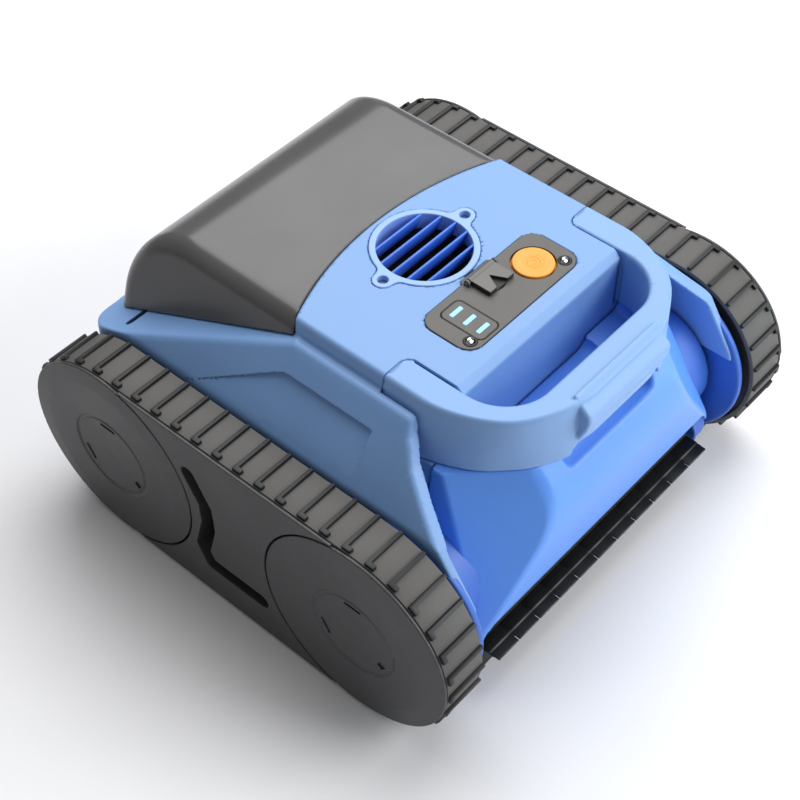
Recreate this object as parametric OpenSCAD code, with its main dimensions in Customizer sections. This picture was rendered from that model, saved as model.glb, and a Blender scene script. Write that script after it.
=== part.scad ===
// Cordless tracked pool cleaner.
// +Z is up, the front is -Y, the left side is +X.
// The origin is on the floor, under the middle of the machine.

/* [Overall] */
// Width over the hub caps
overall_w = 404; // [380:1:440]
// Height of the flat deck above the floor
deck_h = 226; // [216:1:250]
// Distance between the front and the rear wheel axles
wheelbase = 236; // [224:1:270]
// Ground clearance under the floor of the tub
clearance = 16; // [12:1:20]

/* [Tracks] */
// Width of a rubber belt
belt_w = 36; // [30:1:40]
// Radius of the belt's outer face round a wheel
belt_r = 80.4; // [78:0.2:84]
// Thickness of the belt
belt_t = 4; // [3:0.5:5]
// Height of a tread lug
lug_h = 2.6; // [2:0.2:3.4]
// Thickness of a tread lug along the belt
lug_t = 3.4; // [2.6:0.2:4.2]
// Number of tread lugs on one belt
lug_count = 50; // [40:2:56]
// Width of the guide ridge inside the belt
ridge_w = 6; // [4:0.5:8]
// Radius of a wheel axle
axle_r = 8; // [6:0.5:10]
// Width of the slot in a side cover
cover_slot_w = 13; // [8:1:16]

/* [Gears] */
// Module of every gear
gear_m = 2; // [1.5:0.5:2]
// Teeth of the gear on a front axle
axle_teeth = 46; // [44:1:48]
// Teeth of the motor pinion and of the brush gear
pinion_teeth = 14; // [14:1:16]
// Width of the gears
gear_w = 7; // [5:1:8]

/* [Brush] */
// Outer radius of the brush roller
brush_r = 33; // [30:1:34]
// Radius of the brush core
brush_core_r = 14; // [11:1:16]
// Number of rubber paddles
paddle_count = 6; // [4:1:8]
// Radius of the brush shaft
brush_shaft_r = 5; // [4:0.5:6]

/* [Shell] */
// Wall of the shells
wall = 3; // [2.4:0.2:3.6]
// Height of the joint between the tub and the upper shell
split_z = 112; // [104:1:118]
// Running gap between a moving cover and the shell
seam = 0.6; // [0.4:0.1:1]
// Depth of the hand slot behind the handle bar
hand_d = 40; // [36:1:46]
// Width of the handle bar at the top
bar_d = 16; // [14:1:20]

/* [Controls] */
// Depth of the control panel
panel_d = 46; // [42:1:50]
// Width of the control panel
panel_w = 122; // [112:1:130]
// Radius of the power button
button_r = 15; // [12:0.5:16]
// Travel of the power button
button_travel = 1.8; // [1.2:0.2:2.4]
// Radius of the charging socket's bore
socket_r = 7.5; // [7:0.5:9]

/* [Pump] */
// Inner radius of the outlet grille
grille_r = 34.5; // [32:0.5:36]
// Inner radius of the pump duct
duct_r = 32; // [29:0.5:33]
// Radius of the impeller
impeller_r = 31; // [28:0.5:31.4]
// Radius of the pump shaft
pump_shaft_r = 3; // [2:0.5:4]

/* [Filter] */
// Width of the filter basket
basket_w = 220; // [200:2:226]
// Height of the filter basket
basket_h = 118; // [108:1:122]
// Wall of the basket frame
basket_t = 2.5; // [2:0.1:3]
// Width of the suction mouth
mouth_w = 100; // [80:2:110]
// Depth of the suction mouth
mouth_d = 44; // [36:1:50]

/* [Lid] */
// Wall of the clear lid
lid_t = 3; // [2.4:0.2:3.6]
// Radius of the lid's rear shoulder
lid_r = 58; // [50:1:62]
// Radius of the lid's hinge pin
pin_r = 2.5; // [2:0.5:3]

/* [Hidden] */

// Fits
run = 0.05;         // running clearance of a shaft in its bush, radial
slip = 0.5;         // gap between the belt and what turns or sits inside it
deep = 400;         // longer than anything that it cuts

// Across the machine, from the outside in
half_w = overall_w / 2;
cap_back = half_w - 3.4;
cover_out = half_w - 1;
belt_out = half_w - 4;
belt_in = belt_out - belt_w;
wheel_out = belt_out - 1.5;
wheel_in = belt_in + 2;
body_half = belt_in - 4;
ridge_x = (belt_out + belt_in) / 2;
ridge_h = 3.5;
gear_x = body_half - 21;
cheek_x = gear_x - 3;
cheek_t = 3;
bush_x = body_half - 9;
bush_r = 13;
shoulder_half = body_half - 39;
deck_half = body_half - 48;
slot_half = deck_half - 23;
lid_half = body_half - 26;

// Heights
axle_z = belt_r + lug_h;
floor_z = clearance;
shoulder_z = deck_h - 13;
side_z = split_z + 38;
bar_z = deck_h - 38;

// Along the machine
axle_y = wheelbase / 2;
rear_y = axle_y + 66;
front_y = -axle_y - 72;
deck_front = -axle_y - 52;
slot_front = deck_front + bar_d;
slot_rear = slot_front + hand_d;
arm_rear = slot_rear + 48;
panel_front = slot_rear + 17;
panel_y = panel_front + panel_d / 2;
grille_y = panel_front + panel_d + 44;
lid_front = grille_y + 43;
arc_r = 271;
arc_y = lid_front - arc_r;
lid_shoulder_y = axle_y + 57 - lid_r;
lid_shoulder_z = deck_h - lid_r;
seam_y0 = lid_front - 34;
seam_z0 = deck_h - 8;
seam_y1 = axle_y + 30;
seam_z1 = side_z + 4;
seam_z2 = side_z - 2;

// Wheels
wheel_r = belt_r - belt_t - slip;
cap_r = belt_r + 0.6;

// Gear train on each side: the pinion drives the axle gear, which drives the brush
axle_pr = gear_m * axle_teeth / 2;
pinion_pr = gear_m * pinion_teeth / 2;
centre_d = axle_pr + pinion_pr;
brush_dy = 37;
brush_dz = sqrt(centre_d * centre_d - brush_dy * brush_dy);
brush_y = -axle_y - brush_dy;
brush_z = axle_z - brush_dz;
brush_half = cheek_x - 6;
motor_a = 25;
motor_y = -axle_y + centre_d * cos(motor_a);
motor_z = axle_z + centre_d * sin(motor_a);
motor_r = 20;
motor_len = 58;
chamber_r = brush_r + 3.5;

// Handle: rear end of its skirt and half width of the finger gap under the bar
skirt_rear = -axle_y - 2.4;
grip_half = 49;

// Controls on the panel
button_x = 37;
button_y = panel_front + 23;
cap_x = 4;
cap_w = 26;
cap_d = 22;
cap_z = deck_h + 2.9;
cap_y = panel_front + panel_d;
cap_pin_r = 1;
socket_z = deck_h - 16;
window_x = -35;
window_y = panel_front + 21;
dome_x = 53;
dome_y = panel_front + 8;
panel_z = deck_h - 1.6;

// Battery and control board
battery_h = 52;
board_x = slot_half - 22;
board_z = deck_h - 34;

// Filter bay
basket_y0 = lid_front + 12;
basket_y1 = rear_y - 19;
basket_z0 = floor_z + 46;
basket_z1 = basket_z0 + basket_h;
mouth_y = basket_y0 + 36;
flap_z = basket_z0 + basket_t + 3;
flap_y = mouth_y + mouth_d / 2 + 2;

// Lid hinge
hinge_y = rear_y + 5;
hinge_z = side_z - 6;

// ---- helpers -------------------------------------------------------------------------------

// Extrudes a (Y, Z) outline from x0 to x1.
module along_x(x0, x1) {
  translate([x0, 0, 0])
    rotate([90, 0, 90])
      linear_extrude(x1 - x0)
        children();
}

// Extrudes an (X, Z) outline from y0 to y1.
module along_y(y0, y1) {
  translate([0, y1, 0])
    rotate([90, 0, 0])
      linear_extrude(y1 - y0)
        children();
}

// A round bar along X from x0 to x1 at (y, z).
module rod_x(x0, x1, y, z, r) {
  translate([x0, y, z])
    rotate([0, 90, 0])
      cylinder(h = x1 - x0, r = r, $fn = 72);
}

// A box from its lowest to its highest corner.
module block(a, b) {
  translate(a)
    cube([b[0] - a[0], b[1] - a[1], b[2] - a[2]]);
}

// A rectangle with round corners, from its lowest to its highest corner.
module round_rect(a, b, r) {
  translate([a[0] + r, a[1]])
    square([b[0] - a[0] - 2 * r, b[1] - a[1]]);
  translate([a[0], a[1] + r])
    square([b[0] - a[0], b[1] - a[1] - 2 * r]);
  for (x = [a[0] + r, b[0] - r])
    for (y = [a[1] + r, b[1] - r])
      translate([x, y])
        circle(r, $fn = 48);
}

// Puts the same thing on the left, at side 1, or mirrored on the right, at side -1.
module on_side(side) {
  mirror([side < 0 ? 1 : 0, 0, 0])
    children();
}

// The outline of the belt run at radius r round the wheels, in (Y, Z).
module stadium(r) {
  translate([-axle_y, axle_z - r])
    square([wheelbase, 2 * r]);
  for (s = [-1, 1])
    translate([s * axle_y, axle_z])
      circle(r, $fn = 144);
}

// The waisted outline between the wheels, r round the run and gap round each wheel.
module waist(r, gap, ends) {
  intersection() {
    difference() {
      stadium(r);
      for (s = [-1, 1])
        translate([s * axle_y, axle_z])
          circle(gap, $fn = 144);
    }
    translate([-ends, 0])
      square([2 * ends, 2 * axle_z]);
  }
}

// A round-ended stroke of width w from p to q, in its plane.
module stroke(p, q, w) {
  d = q - p;
  translate(p)
    rotate(atan2(d[1], d[0]))
      translate([0, -w / 2 + 0.1])
        square([norm(d), w - 0.2]);
  for (c = [p, q])
    translate(c)
      circle(w / 2, $fn = 48);
}

// Points of an arc round c from angle a0 to a1.
function arc(c, r, a0, a1, n) = [
  for (i = [0:n])
    let (a = a0 + (a1 - a0) * i / n)
    [c[0] + r * cos(a), c[1] + r * sin(a)]
];

// Involute gear outline with t teeth, thinned for backlash.
function involute(base, roll) = [
  base * (cos(roll) + roll * PI / 180 * sin(roll)),
  base * (sin(roll) - roll * PI / 180 * cos(roll))
];
function turn(p, a) = [p[0] * cos(a) - p[1] * sin(a), p[0] * sin(a) + p[1] * cos(a)];
function tooth_flank(t) =
  let (pr = gear_m * t / 2)
  let (base = pr * cos(20))
  let (tip = pr + 0.9 * gear_m)
  let (low = max(base, pr - 0.9 * gear_m))
  let (r0 = sqrt(pow(low / base, 2) - 1) * 180 / PI)
  let (r1 = sqrt(pow(tip / base, 2) - 1) * 180 / PI)
  let (at_pitch = involute(base, sqrt(pow(pr / base, 2) - 1) * 180 / PI))
  let (half = 85 / t + atan2(at_pitch[1], at_pitch[0]))
  [for (i = [0:4]) turn(involute(base, r0 + (r1 - r0) * i / 4), -half)];
module gear_outline(t) {
  flank = tooth_flank(t);
  root = gear_m * t / 2 - 1.2 * gear_m;
  foot = atan2(flank[0][1], flank[0][0]);
  points = [
    for (k = [0:t - 1])
      for (p = concat([root * [cos(foot), sin(foot)]], flank,
                      [for (i = [4:-1:0]) [flank[i][0], -flank[i][1]]],
                      [root * [cos(foot), -sin(foot)]]))
        turn(p, k * 360 / t)
  ];
  polygon(points);
}

// ---- shared outlines of the shells ---------------------------------------------------------

// Plan of the body, t inside its outer face.
module body_plan(t) {
  round_rect([-body_half + t, front_y + t], [body_half - t, rear_y - t], 24 - t);
}

// Cross-section of the upper body in (X, Z), t inside its outer face.
module body_section(t) {
  left = [
    [body_half - t, floor_z],
    [body_half - t, side_z - 0.6 * t],
    [shoulder_half - t, shoulder_z - 0.8 * t],
    [deck_half - 0.6 * t, deck_h - t]
  ];
  polygon(concat(left, [for (i = [3:-1:0]) [-left[i][0], left[i][1]]]));
}

// Side view of the upper body in (Y, Z), t inside its outer face.
module body_side(t) {
  polygon(concat(
    [
      [rear_y - t, floor_z],
      [rear_y - t, side_z - 20],
      [rear_y - 9 - t, lid_shoulder_z]
    ],
    arc([lid_shoulder_y, lid_shoulder_z], lid_r - t, 0, 90, 10),
    [
      [deck_front + 3 + t, deck_h - t],
      [deck_front + t, deck_h - 3 - t],
      [front_y + 9 + t, bar_z],
      [front_y + t, side_z],
      [front_y + t, floor_z]
    ]
  ));
}

// Section square to the 45 degree faces of the front corners, t inside them.
module corner_section(t) {
  polygon([
    [-deep, floor_z],
    [(body_half - front_y) * 0.7071 - 10 - t, floor_z],
    [(body_half - front_y) * 0.7071 - 10 - t, side_z],
    [(deck_half - deck_front) * 0.7071 - 19 - t, deck_h],
    [-deep, deck_h]
  ]);
}

// The upper body as one solid, t inside its outer face.
module envelope(t) {
  intersection() {
    rotate(-45)
      along_y(-deep, deep)
        corner_section(t);
    rotate(45)
      along_y(-deep, deep)
        mirror([1, 0])
          corner_section(t);
    along_y(front_y - 1, rear_y + 1)
      body_section(t);
    along_x(-body_half, body_half)
      body_side(t);
    linear_extrude(deck_h)
      body_plan(t);
  }
}

// Everything above the line where the lid meets the body, in (Y, Z), raised by gap.
module above_seam(gap) {
  polygon([
    [seam_y0 - 40, seam_z0 + gap],
    [seam_y0, seam_z0 + gap],
    [seam_y1, seam_z1 + gap],
    [rear_y + 20, seam_z2 + gap],
    [rear_y + 20, deck_h + 20],
    [seam_y0 - 40, deck_h + 20]
  ]);
}

// The space of the lid, behind the curved rear edge of the deck.
module lid_zone(gap) {
  difference() {
    along_x(-deep / 2, deep / 2)
      above_seam(gap);
    translate([0, arc_y, 0])
      cylinder(h = deep, r = arc_r + gap, $fn = 240);
  }
}

// Cross-section of the lid in (X, Z), t inside its outer face.
module lid_section(t) {
  left = [
    [lid_half - t, floor_z],
    [lid_half - 3 - t, side_z + 12],
    [shoulder_half - 1 - t, shoulder_z - 2 - 0.6 * t],
    [deck_half - 4 - 0.6 * t, deck_h - t]
  ];
  polygon(concat(left, [for (i = [3:-1:0]) [-left[i][0], left[i][1]]]));
}

// Solid of the lid's outside, t inside its outer face.
module lid_solid(t) {
  intersection() {
    along_y(0, rear_y)
      lid_section(t);
    along_x(-lid_half, lid_half)
      body_side(t);
    linear_extrude(deck_h)
      round_rect([-lid_half + t, -60], [lid_half - t, rear_y - 2 - t], 40 - t);
  }
}

// Plan of the U-shaped handle, grown by gap.
module handle_plan(gap) {
  difference() {
    translate([-deep / 2, front_y - 5])
      square([deep, arm_rear - front_y + 5 + gap]);
    round_rect([-slot_half + gap, slot_front + gap], [slot_half - gap, arm_rear + 30], 12);
  }
}

// Posts that the upper shell is screwed to.
post_at = [
  [body_half - 10, -axle_y + 88],
  [body_half - 10, axle_y - 78],
  [body_half - 18, rear_y - 24]
];
post_r = 6;
screw_r = 2;
head_r = 3.6;
head_z = split_z - 22;

// ---- fixed shells --------------------------------------------------------------------------

// Lower tub: floor, walls, end cheeks of the brush and the curved wall behind it.
module base_shell() {
  color("#3F77D6")
    difference() {
      union() {
        difference() {
          translate([0, 0, floor_z])
            linear_extrude(split_z - floor_z)
              body_plan(0);
          translate([0, 0, floor_z + wall])
            linear_extrude(deep)
              body_plan(wall);
        }
        for (side = [-1, 1])
          on_side(side)
            along_x(cheek_x - cheek_t, cheek_x)
              cheek_outline();
        difference() {
          rod_x(-cheek_x, cheek_x, brush_y, brush_z, chamber_r + wall);
          block([-body_half, front_y - 50, -50], [body_half, deep, floor_z]);
        }
        for (side = [-1, 1])
          for (p = post_at)
            translate([side * p[0], p[1], floor_z])
              cylinder(h = split_z - floor_z, r = post_r, $fn = 48);
      }
      // room for the brush, open to the front and below
      rod_x(-cheek_x + cheek_t, cheek_x - cheek_t, brush_y, brush_z, chamber_r);
      block(
        [-cheek_x + cheek_t, front_y - 1, floor_z - 1],
        [cheek_x - cheek_t, brush_y + 12, brush_z + 24]
      );
      // the cowl closes the front above the brush
      block([-body_half - 1, front_y - 1, brush_z + 24], [body_half + 1, -axle_y - 40, deep]);
      // axle bushes
      for (s = [-1, 1])
        rod_x(-deep / 2, -body_half + wall + 1, s * axle_y, axle_z, bush_r);
      for (s = [-1, 1])
        rod_x(body_half - wall - 1, deep / 2, s * axle_y, axle_z, bush_r);
      // brush bushes in the cheeks
      for (side = [-1, 1])
        on_side(side)
          rod_x(cheek_x - cheek_t - 1, cheek_x + 1, brush_y, brush_z, brush_shaft_r + 3);
      // suction mouth
      block(
        [-mouth_w / 2, mouth_y - mouth_d / 2, floor_z - 1],
        [mouth_w / 2, mouth_y + mouth_d / 2, floor_z + wall + 1]
      );
      // deep screw pockets in the posts
      for (side = [-1, 1])
        for (p = post_at)
          translate([side * p[0], p[1], floor_z - 1]) {
            cylinder(h = head_z - floor_z + 1, r = head_r + 0.4, $fn = 48);
            cylinder(h = deep, r = screw_r + 0.2, $fn = 48);
          }
    }
}

// Inner wall beside the brush gear, in (Y, Z).
module cheek_outline() {
  translate([front_y + 2, floor_z + 1])
    square([-axle_y - front_y - 2 + 6, brush_z + 23 - floor_z]);
}

// Upper shell: deck, sloping sides, rear wall and the two hinge ears.
module top_shell() {
  color("#7FAEF0")
    difference() {
      union() {
        difference() {
          envelope(0);
          envelope(wall);
          lid_zone(0);
          translate([0, 0, -1])
            linear_extrude(split_z + 1)
              body_plan(-5);
          block([-deep / 2, front_y - 5, 0], [deep / 2, -axle_y - 2, deep]);
          translate([0, 0, bar_z - 0.3])
            linear_extrude(deep)
              handle_plan(0.3);
        }
        // shelf that the lid closes on, open over the filter bay
        difference() {
          intersection() {
            envelope(0);
            along_x(-body_half, body_half)
              difference() {
                above_seam(-wall);
                above_seam(0);
              }
          }
          linear_extrude(deep)
            round_rect([-lid_half + 10, lid_front - 60], [lid_half - 10, rear_y - 14], 30);
          block([-deep / 2, -deep, 0], [deep / 2, seam_y0 - 16, deep]);
        }
        // wall behind the hand slot
        block([-slot_half, slot_rear, side_z + 12], [slot_half, slot_rear + wall, deck_h - 1]);
        // bosses for the screws from the tub
        for (side = [-1, 1])
          for (p = post_at)
            translate([side * p[0], p[1], split_z]) {
              cylinder(h = 18, r = post_r, $fn = 48);
              translate([side > 0 ? 0 : -body_half + p[0] + 1, -2, 0])
                cube([body_half - p[0] - 1, 4, 18]);
            }
        for (side = [-1, 1])
          for (x = [38, 78])
            translate([side * x, 0, 0])
              hinge_ear();
      }
      // pockets and holes of the deck
      translate([0, 0, deck_h - 1.8])
        linear_extrude(5)
          grille_plan(0.3);
      translate([0, grille_y, deck_h - 10])
        cylinder(h = 20, r = grille_r + 1.5, $fn = 96);
      for (side = [-1, 1])
        translate([side * (grille_r + 9.5), grille_y, deck_h - 10])
          cylinder(h = 20, r = 4.6, $fn = 48);
      translate([0, 0, panel_z])
        linear_extrude(5)
          panel_plan(0.2);
      translate([button_x, button_y, deck_h - 10])
        cylinder(h = 20, r = button_r + 0.6, $fn = 96);
      translate([cap_x, cap_y - cap_d / 2 - 2, deck_h - 10])
        cylinder(h = 20, r = socket_r + 2.2, $fn = 72);
      for (p = [[dome_x, dome_y], [-dome_x + 3, dome_y]])
        translate([p[0], p[1], deck_h - 10])
          cylinder(h = 20, r = 1.6, $fn = 32);
      for (side = [-1, 1])
        for (p = post_at)
          translate([side * p[0], p[1], split_z - 1])
            cylinder(h = 16, r = screw_r, $fn = 48);
      rod_x(-90, 90, hinge_y, hinge_z, pin_r);
    }
}

// One ear of the lid's hinge, joined to the rear wall.
module hinge_ear() {
  rod_x(-5, 5, hinge_y, hinge_z, pin_r + 3);
  block([-5, rear_y - 3, hinge_z - 16], [5, hinge_y, hinge_z + pin_r]);
}

// U-shaped handle round the hand slot: two arms, the front bar and the skirt of the corners.
module handle() {
  color("#9DC0F2")
    difference() {
      union() {
        intersection() {
          envelope(0);
          translate([0, 0, bar_z])
            linear_extrude(deep)
              handle_plan(0);
        }
        difference() {
          intersection() {
            envelope(0);
            block([-deep / 2, front_y - 5, side_z + 1], [deep / 2, skirt_rear, bar_z + 1]);
          }
          envelope(wall);
          block([-grip_half, front_y - 5, 0], [grip_half, slot_rear, bar_z]);
        }
        for (side = [-1, 1])
          on_side(side)
            block([slot_half, slot_front, side_z + 12], [slot_half + wall, skirt_rear, bar_z + 1]);
      }
      cowl_outside(-0.3);
      // hollow from below, inside the arms
      intersection() {
        envelope(wall);
        translate([0, 0, bar_z - 1])
          linear_extrude(deck_h - bar_z + 1 - wall)
            difference() {
              translate([-deep / 2, slot_front + 4])
                square([deep, arm_rear - slot_front - 4 - wall]);
              round_rect(
                [-slot_half - wall, slot_front - wall],
                [slot_half + wall, arm_rear + 30],
                12
              );
            }
      }
    }
}

// Front cowl: bulging nose over the brush, with the floor of the hand slot.
module front_cowl() {
  color("#5C97EE")
    difference() {
      intersection() {
        cowl_outside(0);
        linear_extrude(deck_h)
          body_plan(0);
        along_y(front_y - 1, 0)
          body_section(0);
      }
      intersection() {
        cowl_outside(wall);
        linear_extrude(deck_h)
          body_plan(wall);
        along_y(front_y - 1, 0)
          body_section(wall);
      }
      // ends in front of the slot's rear wall, and stands on the tub's walls
      block([-deep / 2, slot_rear - 0.3, 0], [deep / 2, 50, deep]);
      block([-deep / 2, -axle_y - 40.3, 0], [deep / 2, 50, split_z + 0.3]);
      for (side = [-1, 1])
        on_side(side)
          block([slot_half + wall, skirt_rear, split_z], [deep / 2, 50, deep]);
    }
}

module cowl_outside(t) {
  along_x(-body_half + t, body_half - t)
    polygon([
      [0, brush_z + 24.4 - (t > 0 ? 5 : 0)],
      [front_y + 8 + t, brush_z + 24.4 - (t > 0 ? 5 : 0)],
      [front_y - 2 + t + 2, brush_z + 50],
      [front_y + t, side_z - 20],
      [front_y + 4 + t, side_z],
      [front_y + 12 + t, side_z + 13 - t],
      [slot_front, side_z + 10 - t],
      [slot_rear + 2, side_z + 24 - t],
      [0, side_z + 24 - t]
    ]);
}

// ---- tracks --------------------------------------------------------------------------------

// Frame between the wheels that ties the side cover to the tub.
module side_frame(side) {
  color("#3A3A3D")
    on_side(side)
      difference() {
        along_x(body_half, cap_back)
          waist(belt_r - belt_t - ridge_h - slip, wheel_r + 1.2, 88);
        along_x(body_half + wall, cap_back + 1)
          waist(belt_r - belt_t - ridge_h - slip - wall, wheel_r + 1.2 + wall, 80);
      }
}
module side_frame_left() { side_frame(1); }
module side_frame_right() { side_frame(-1); }

// Cover plate between the two hub caps, with its bent slot.
module side_cover(side) {
  color("#4B4B4D")
    on_side(side)
      difference() {
        along_x(cap_back, cover_out)
          waist(belt_r, cap_r + 1, 104);
        along_x(cap_back - 1, cover_out + 1)
          cover_slot();
      }
}

module cover_slot() {
  bend = [[34, 128], [20, 103], [19, 82], [27, 52], [20, 38], [-30, 38]];
  for (i = [0:len(bend) - 2])
    stroke(bend[i], bend[i + 1], cover_slot_w);
}
module side_cover_left() { side_cover(1); }
module side_cover_right() { side_cover(-1); }

// Place and direction along the belt, s millimetres from the middle of its lower run.
run_len = 2 * wheelbase + 2 * PI * belt_r;
turn_len = PI * belt_r;
function wrap(s) = s - run_len * floor(s / run_len);
module on_belt(s0) {
  s = wrap(s0);
  a1 = wheelbase / 2;
  a2 = a1 + turn_len;
  a3 = a2 + wheelbase;
  a4 = a3 + turn_len;
  if (s <= a1)
    translate([0, s, axle_z])
      children();
  else if (s <= a2)
    translate([0, axle_y, axle_z])
      rotate([(s - a1) / belt_r * 180 / PI, 0, 0])
        children();
  else if (s <= a3)
    translate([0, axle_y - (s - a2), axle_z])
      rotate([180, 0, 0])
        children();
  else if (s <= a4)
    translate([0, -axle_y, axle_z])
      rotate([180 + (s - a3) / belt_r * 180 / PI, 0, 0])
        children();
  else
    translate([0, s - run_len, axle_z])
      children();
}

// Rubber belt with its tread lugs; each lug has a short foot at its outer end.
module belt(side) {
  color("#5F5D5A")
    on_side(side) {
      difference() {
        along_x(belt_in, belt_out)
          stadium(belt_r);
        along_x(belt_in - 1, belt_out + 1)
          stadium(belt_r - belt_t);
      }
      difference() {
        along_x(ridge_x - ridge_w / 2, ridge_x + ridge_w / 2)
          stadium(belt_r - belt_t + 0.5);
        along_x(ridge_x - ridge_w, ridge_x + ridge_w)
          stadium(belt_r - belt_t - ridge_h);
      }
      for (i = [0:lug_count - 1])
        on_belt((i + 0.5) * run_len / lug_count) {
          block([belt_in + 0.5, -lug_t / 2, -belt_r - lug_h], [belt_out - 1, lug_t / 2, -belt_r + 1]);
          block([belt_out - 4.5, lug_t / 2 - 1, -belt_r - lug_h], [belt_out - 1, lug_t / 2 + 4, -belt_r + 1]);
        }
    }
}
module belt_left() { belt(1); }
module belt_right() { belt(-1); }

// Wheel inside the belt, grooved for the belt's ridge and dished to save weight.
module wheel(side, end) {
  color("#2E2E30")
    on_side(side)
      translate([0, end * axle_y, axle_z])
        rotate([0, 90, 0])
          difference() {
            translate([0, 0, wheel_in])
              cylinder(h = wheel_out - wheel_in, r = wheel_r, $fn = 144);
            translate([0, 0, ridge_x - ridge_w / 2 - slip])
              difference() {
                cylinder(h = ridge_w + 2 * slip, r = wheel_r + 2, $fn = 144);
                translate([0, 0, -1])
                  cylinder(h = ridge_w + 3, r = wheel_r - ridge_h - slip, $fn = 144);
              }
            translate([0, 0, wheel_in - 1])
              difference() {
                cylinder(h = 12, r = wheel_r - 10, $fn = 144);
                cylinder(h = 13, r = axle_r + 8, $fn = 72);
              }
            translate([0, 0, wheel_in - 1])
              cylinder(h = wheel_out - 4 - wheel_in + 1, r = axle_r, $fn = 72);
          }
}
module wheel_front_left() { wheel(1, -1); }
module wheel_front_right() { wheel(-1, -1); }
module wheel_rear_left() { wheel(1, 1); }
module wheel_rear_right() { wheel(-1, 1); }

// Dished hub cap with two narrow slots and a square notch round its middle.
module hub_cap(side, end) {
  color("#4B4B4D")
    on_side(side)
      translate([0, end * axle_y, axle_z])
        difference() {
          rotate([0, 90, 0])
            rotate_extrude($fn = 144)
              polygon([
                [0, wheel_out],
                [40, wheel_out],
                [40, cap_back],
                [cap_r - 0.8, cap_back],
                [cap_r, cap_back + 0.8],
                [cap_r, half_w - 1.4],
                [cap_r - 1, half_w - 0.8],
                [cap_r - 13, half_w],
                [37, half_w - 1.6],
                [34, half_w - 0.8],
                [22, half_w - 1.2],
                [0, half_w - 1.8]
              ]);
          for (a = [90, -30])
            rotate([a, 0, 0])
              block([half_w - 2.4, 28, -7], [half_w + 1, 30, 7]);
          rotate([-150, 0, 0])
            block([half_w - 2.4, 27.5, -2.5], [half_w + 1, 32.5, 2.5]);
        }
}
module hub_cap_front_left() { hub_cap(1, -1); }
module hub_cap_front_right() { hub_cap(-1, -1); }
module hub_cap_rear_left() { hub_cap(1, 1); }
module hub_cap_rear_right() { hub_cap(-1, 1); }

// Axle pressed into its wheel; the front ones carry a gear inside the tub.
module axle(side, end) {
  inner = end < 0 ? gear_x - 2 : bush_x - 4;
  color("silver")
    on_side(side) {
      rod_x(inner, wheel_out - 4, end * axle_y, axle_z, axle_r);
      if (end > 0)
        rod_x(bush_x - 4, bush_x - 0.4, axle_y, axle_z, axle_r + 3);
    }
}
module axle_front_left() { axle(1, -1); }
module axle_front_right() { axle(-1, -1); }
module axle_rear_left() { axle(1, 1); }
module axle_rear_right() { axle(-1, 1); }

module axle_gear(side) {
  color("#E8E4D8")
    on_side(side)
      translate([gear_x, -axle_y, axle_z])
        difference() {
          rotate([90, 0, 90])
            linear_extrude(gear_w)
              rotate(motor_a + 180 / axle_teeth)
                gear_outline(axle_teeth);
          translate([-1, 0, 0])
            rotate([0, 90, 0])
              cylinder(h = gear_w + 2, r = axle_r, $fn = 72);
        }
}
module axle_gear_left() { axle_gear(1); }
module axle_gear_right() { axle_gear(-1); }

// Flanged bushes of the four axles in the side walls of the tub.
module wheel_bushes() {
  color("#D9D4C5")
    for (side = [-1, 1])
      for (end = [-1, 1])
        on_side(side)
          difference() {
            union() {
              rod_x(bush_x, body_half, end * axle_y, axle_z, bush_r);
              rod_x(body_half - wall - 3, body_half - wall, end * axle_y, axle_z, bush_r + 4);
            }
            rod_x(bush_x - 1, body_half + 1, end * axle_y, axle_z, axle_r + run);
          }
}

// Sealed drive motor with its gearbox, lying across the tub.
module drive_motor(side) {
  color("#8C8F93")
    on_side(side)
      difference() {
        union() {
          rod_x(gear_x - 4 - motor_len, gear_x - 4, motor_y, motor_z, motor_r);
          rod_x(gear_x - 4 - motor_len - 6, gear_x - 4 - motor_len, motor_y, motor_z, 9);
          block(
            [gear_x - motor_len + 6, motor_y - 12, floor_z + wall],
            [gear_x - motor_len + 14, motor_y + 12, motor_z - 10]
          );
          block([gear_x - 16, motor_y - 12, floor_z + wall], [gear_x - 8, motor_y + 12, motor_z - 10]);
        }
        rod_x(gear_x - 20, gear_x, motor_y, motor_z, 3 + run);
      }
}
module drive_motor_left() { drive_motor(1); }
module drive_motor_right() { drive_motor(-1); }

// Motor pinion with its shaft.
module pinion(side) {
  color("#B08D57")
    on_side(side) {
      translate([gear_x, motor_y, motor_z])
        rotate([90, 0, 90])
          linear_extrude(gear_w)
            rotate(motor_a + 180)
              gear_outline(pinion_teeth);
      rod_x(gear_x - 18, gear_x + 0.01, motor_y, motor_z, 3);
    }
}
module pinion_left() { pinion(1); }
module pinion_right() { pinion(-1); }

// ---- brush ---------------------------------------------------------------------------------

// Core tube and shaft of the brush roller.
module brush_core() {
  color("#2A2A2C") {
    rod_x(-brush_half, brush_half, brush_y, brush_z, brush_core_r);
    rod_x(-cheek_x - 4, gear_x + gear_w, brush_y, brush_z, brush_shaft_r);
  }
}

// Rubber paddles on the core, notched along their edge.
module brush_fins() {
  notch_n = 11;
  pitch = 2 * brush_half / notch_n;
  color("#0B0B0C")
    difference() {
      for (k = [0:paddle_count - 1])
        translate([0, brush_y, brush_z])
          rotate([k * 360 / paddle_count, 0, 0])
            difference() {
              block([-brush_half, brush_core_r - 2, -1.6], [brush_half, brush_r, 1.6]);
              for (i = [1:notch_n - 1])
                block(
                  [-brush_half + i * pitch - 1, brush_r - 9, -3],
                  [-brush_half + i * pitch + 1, brush_r + 1, 3]
                );
            }
      rod_x(-brush_half - 1, brush_half + 1, brush_y, brush_z, brush_core_r);
    }
}

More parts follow.
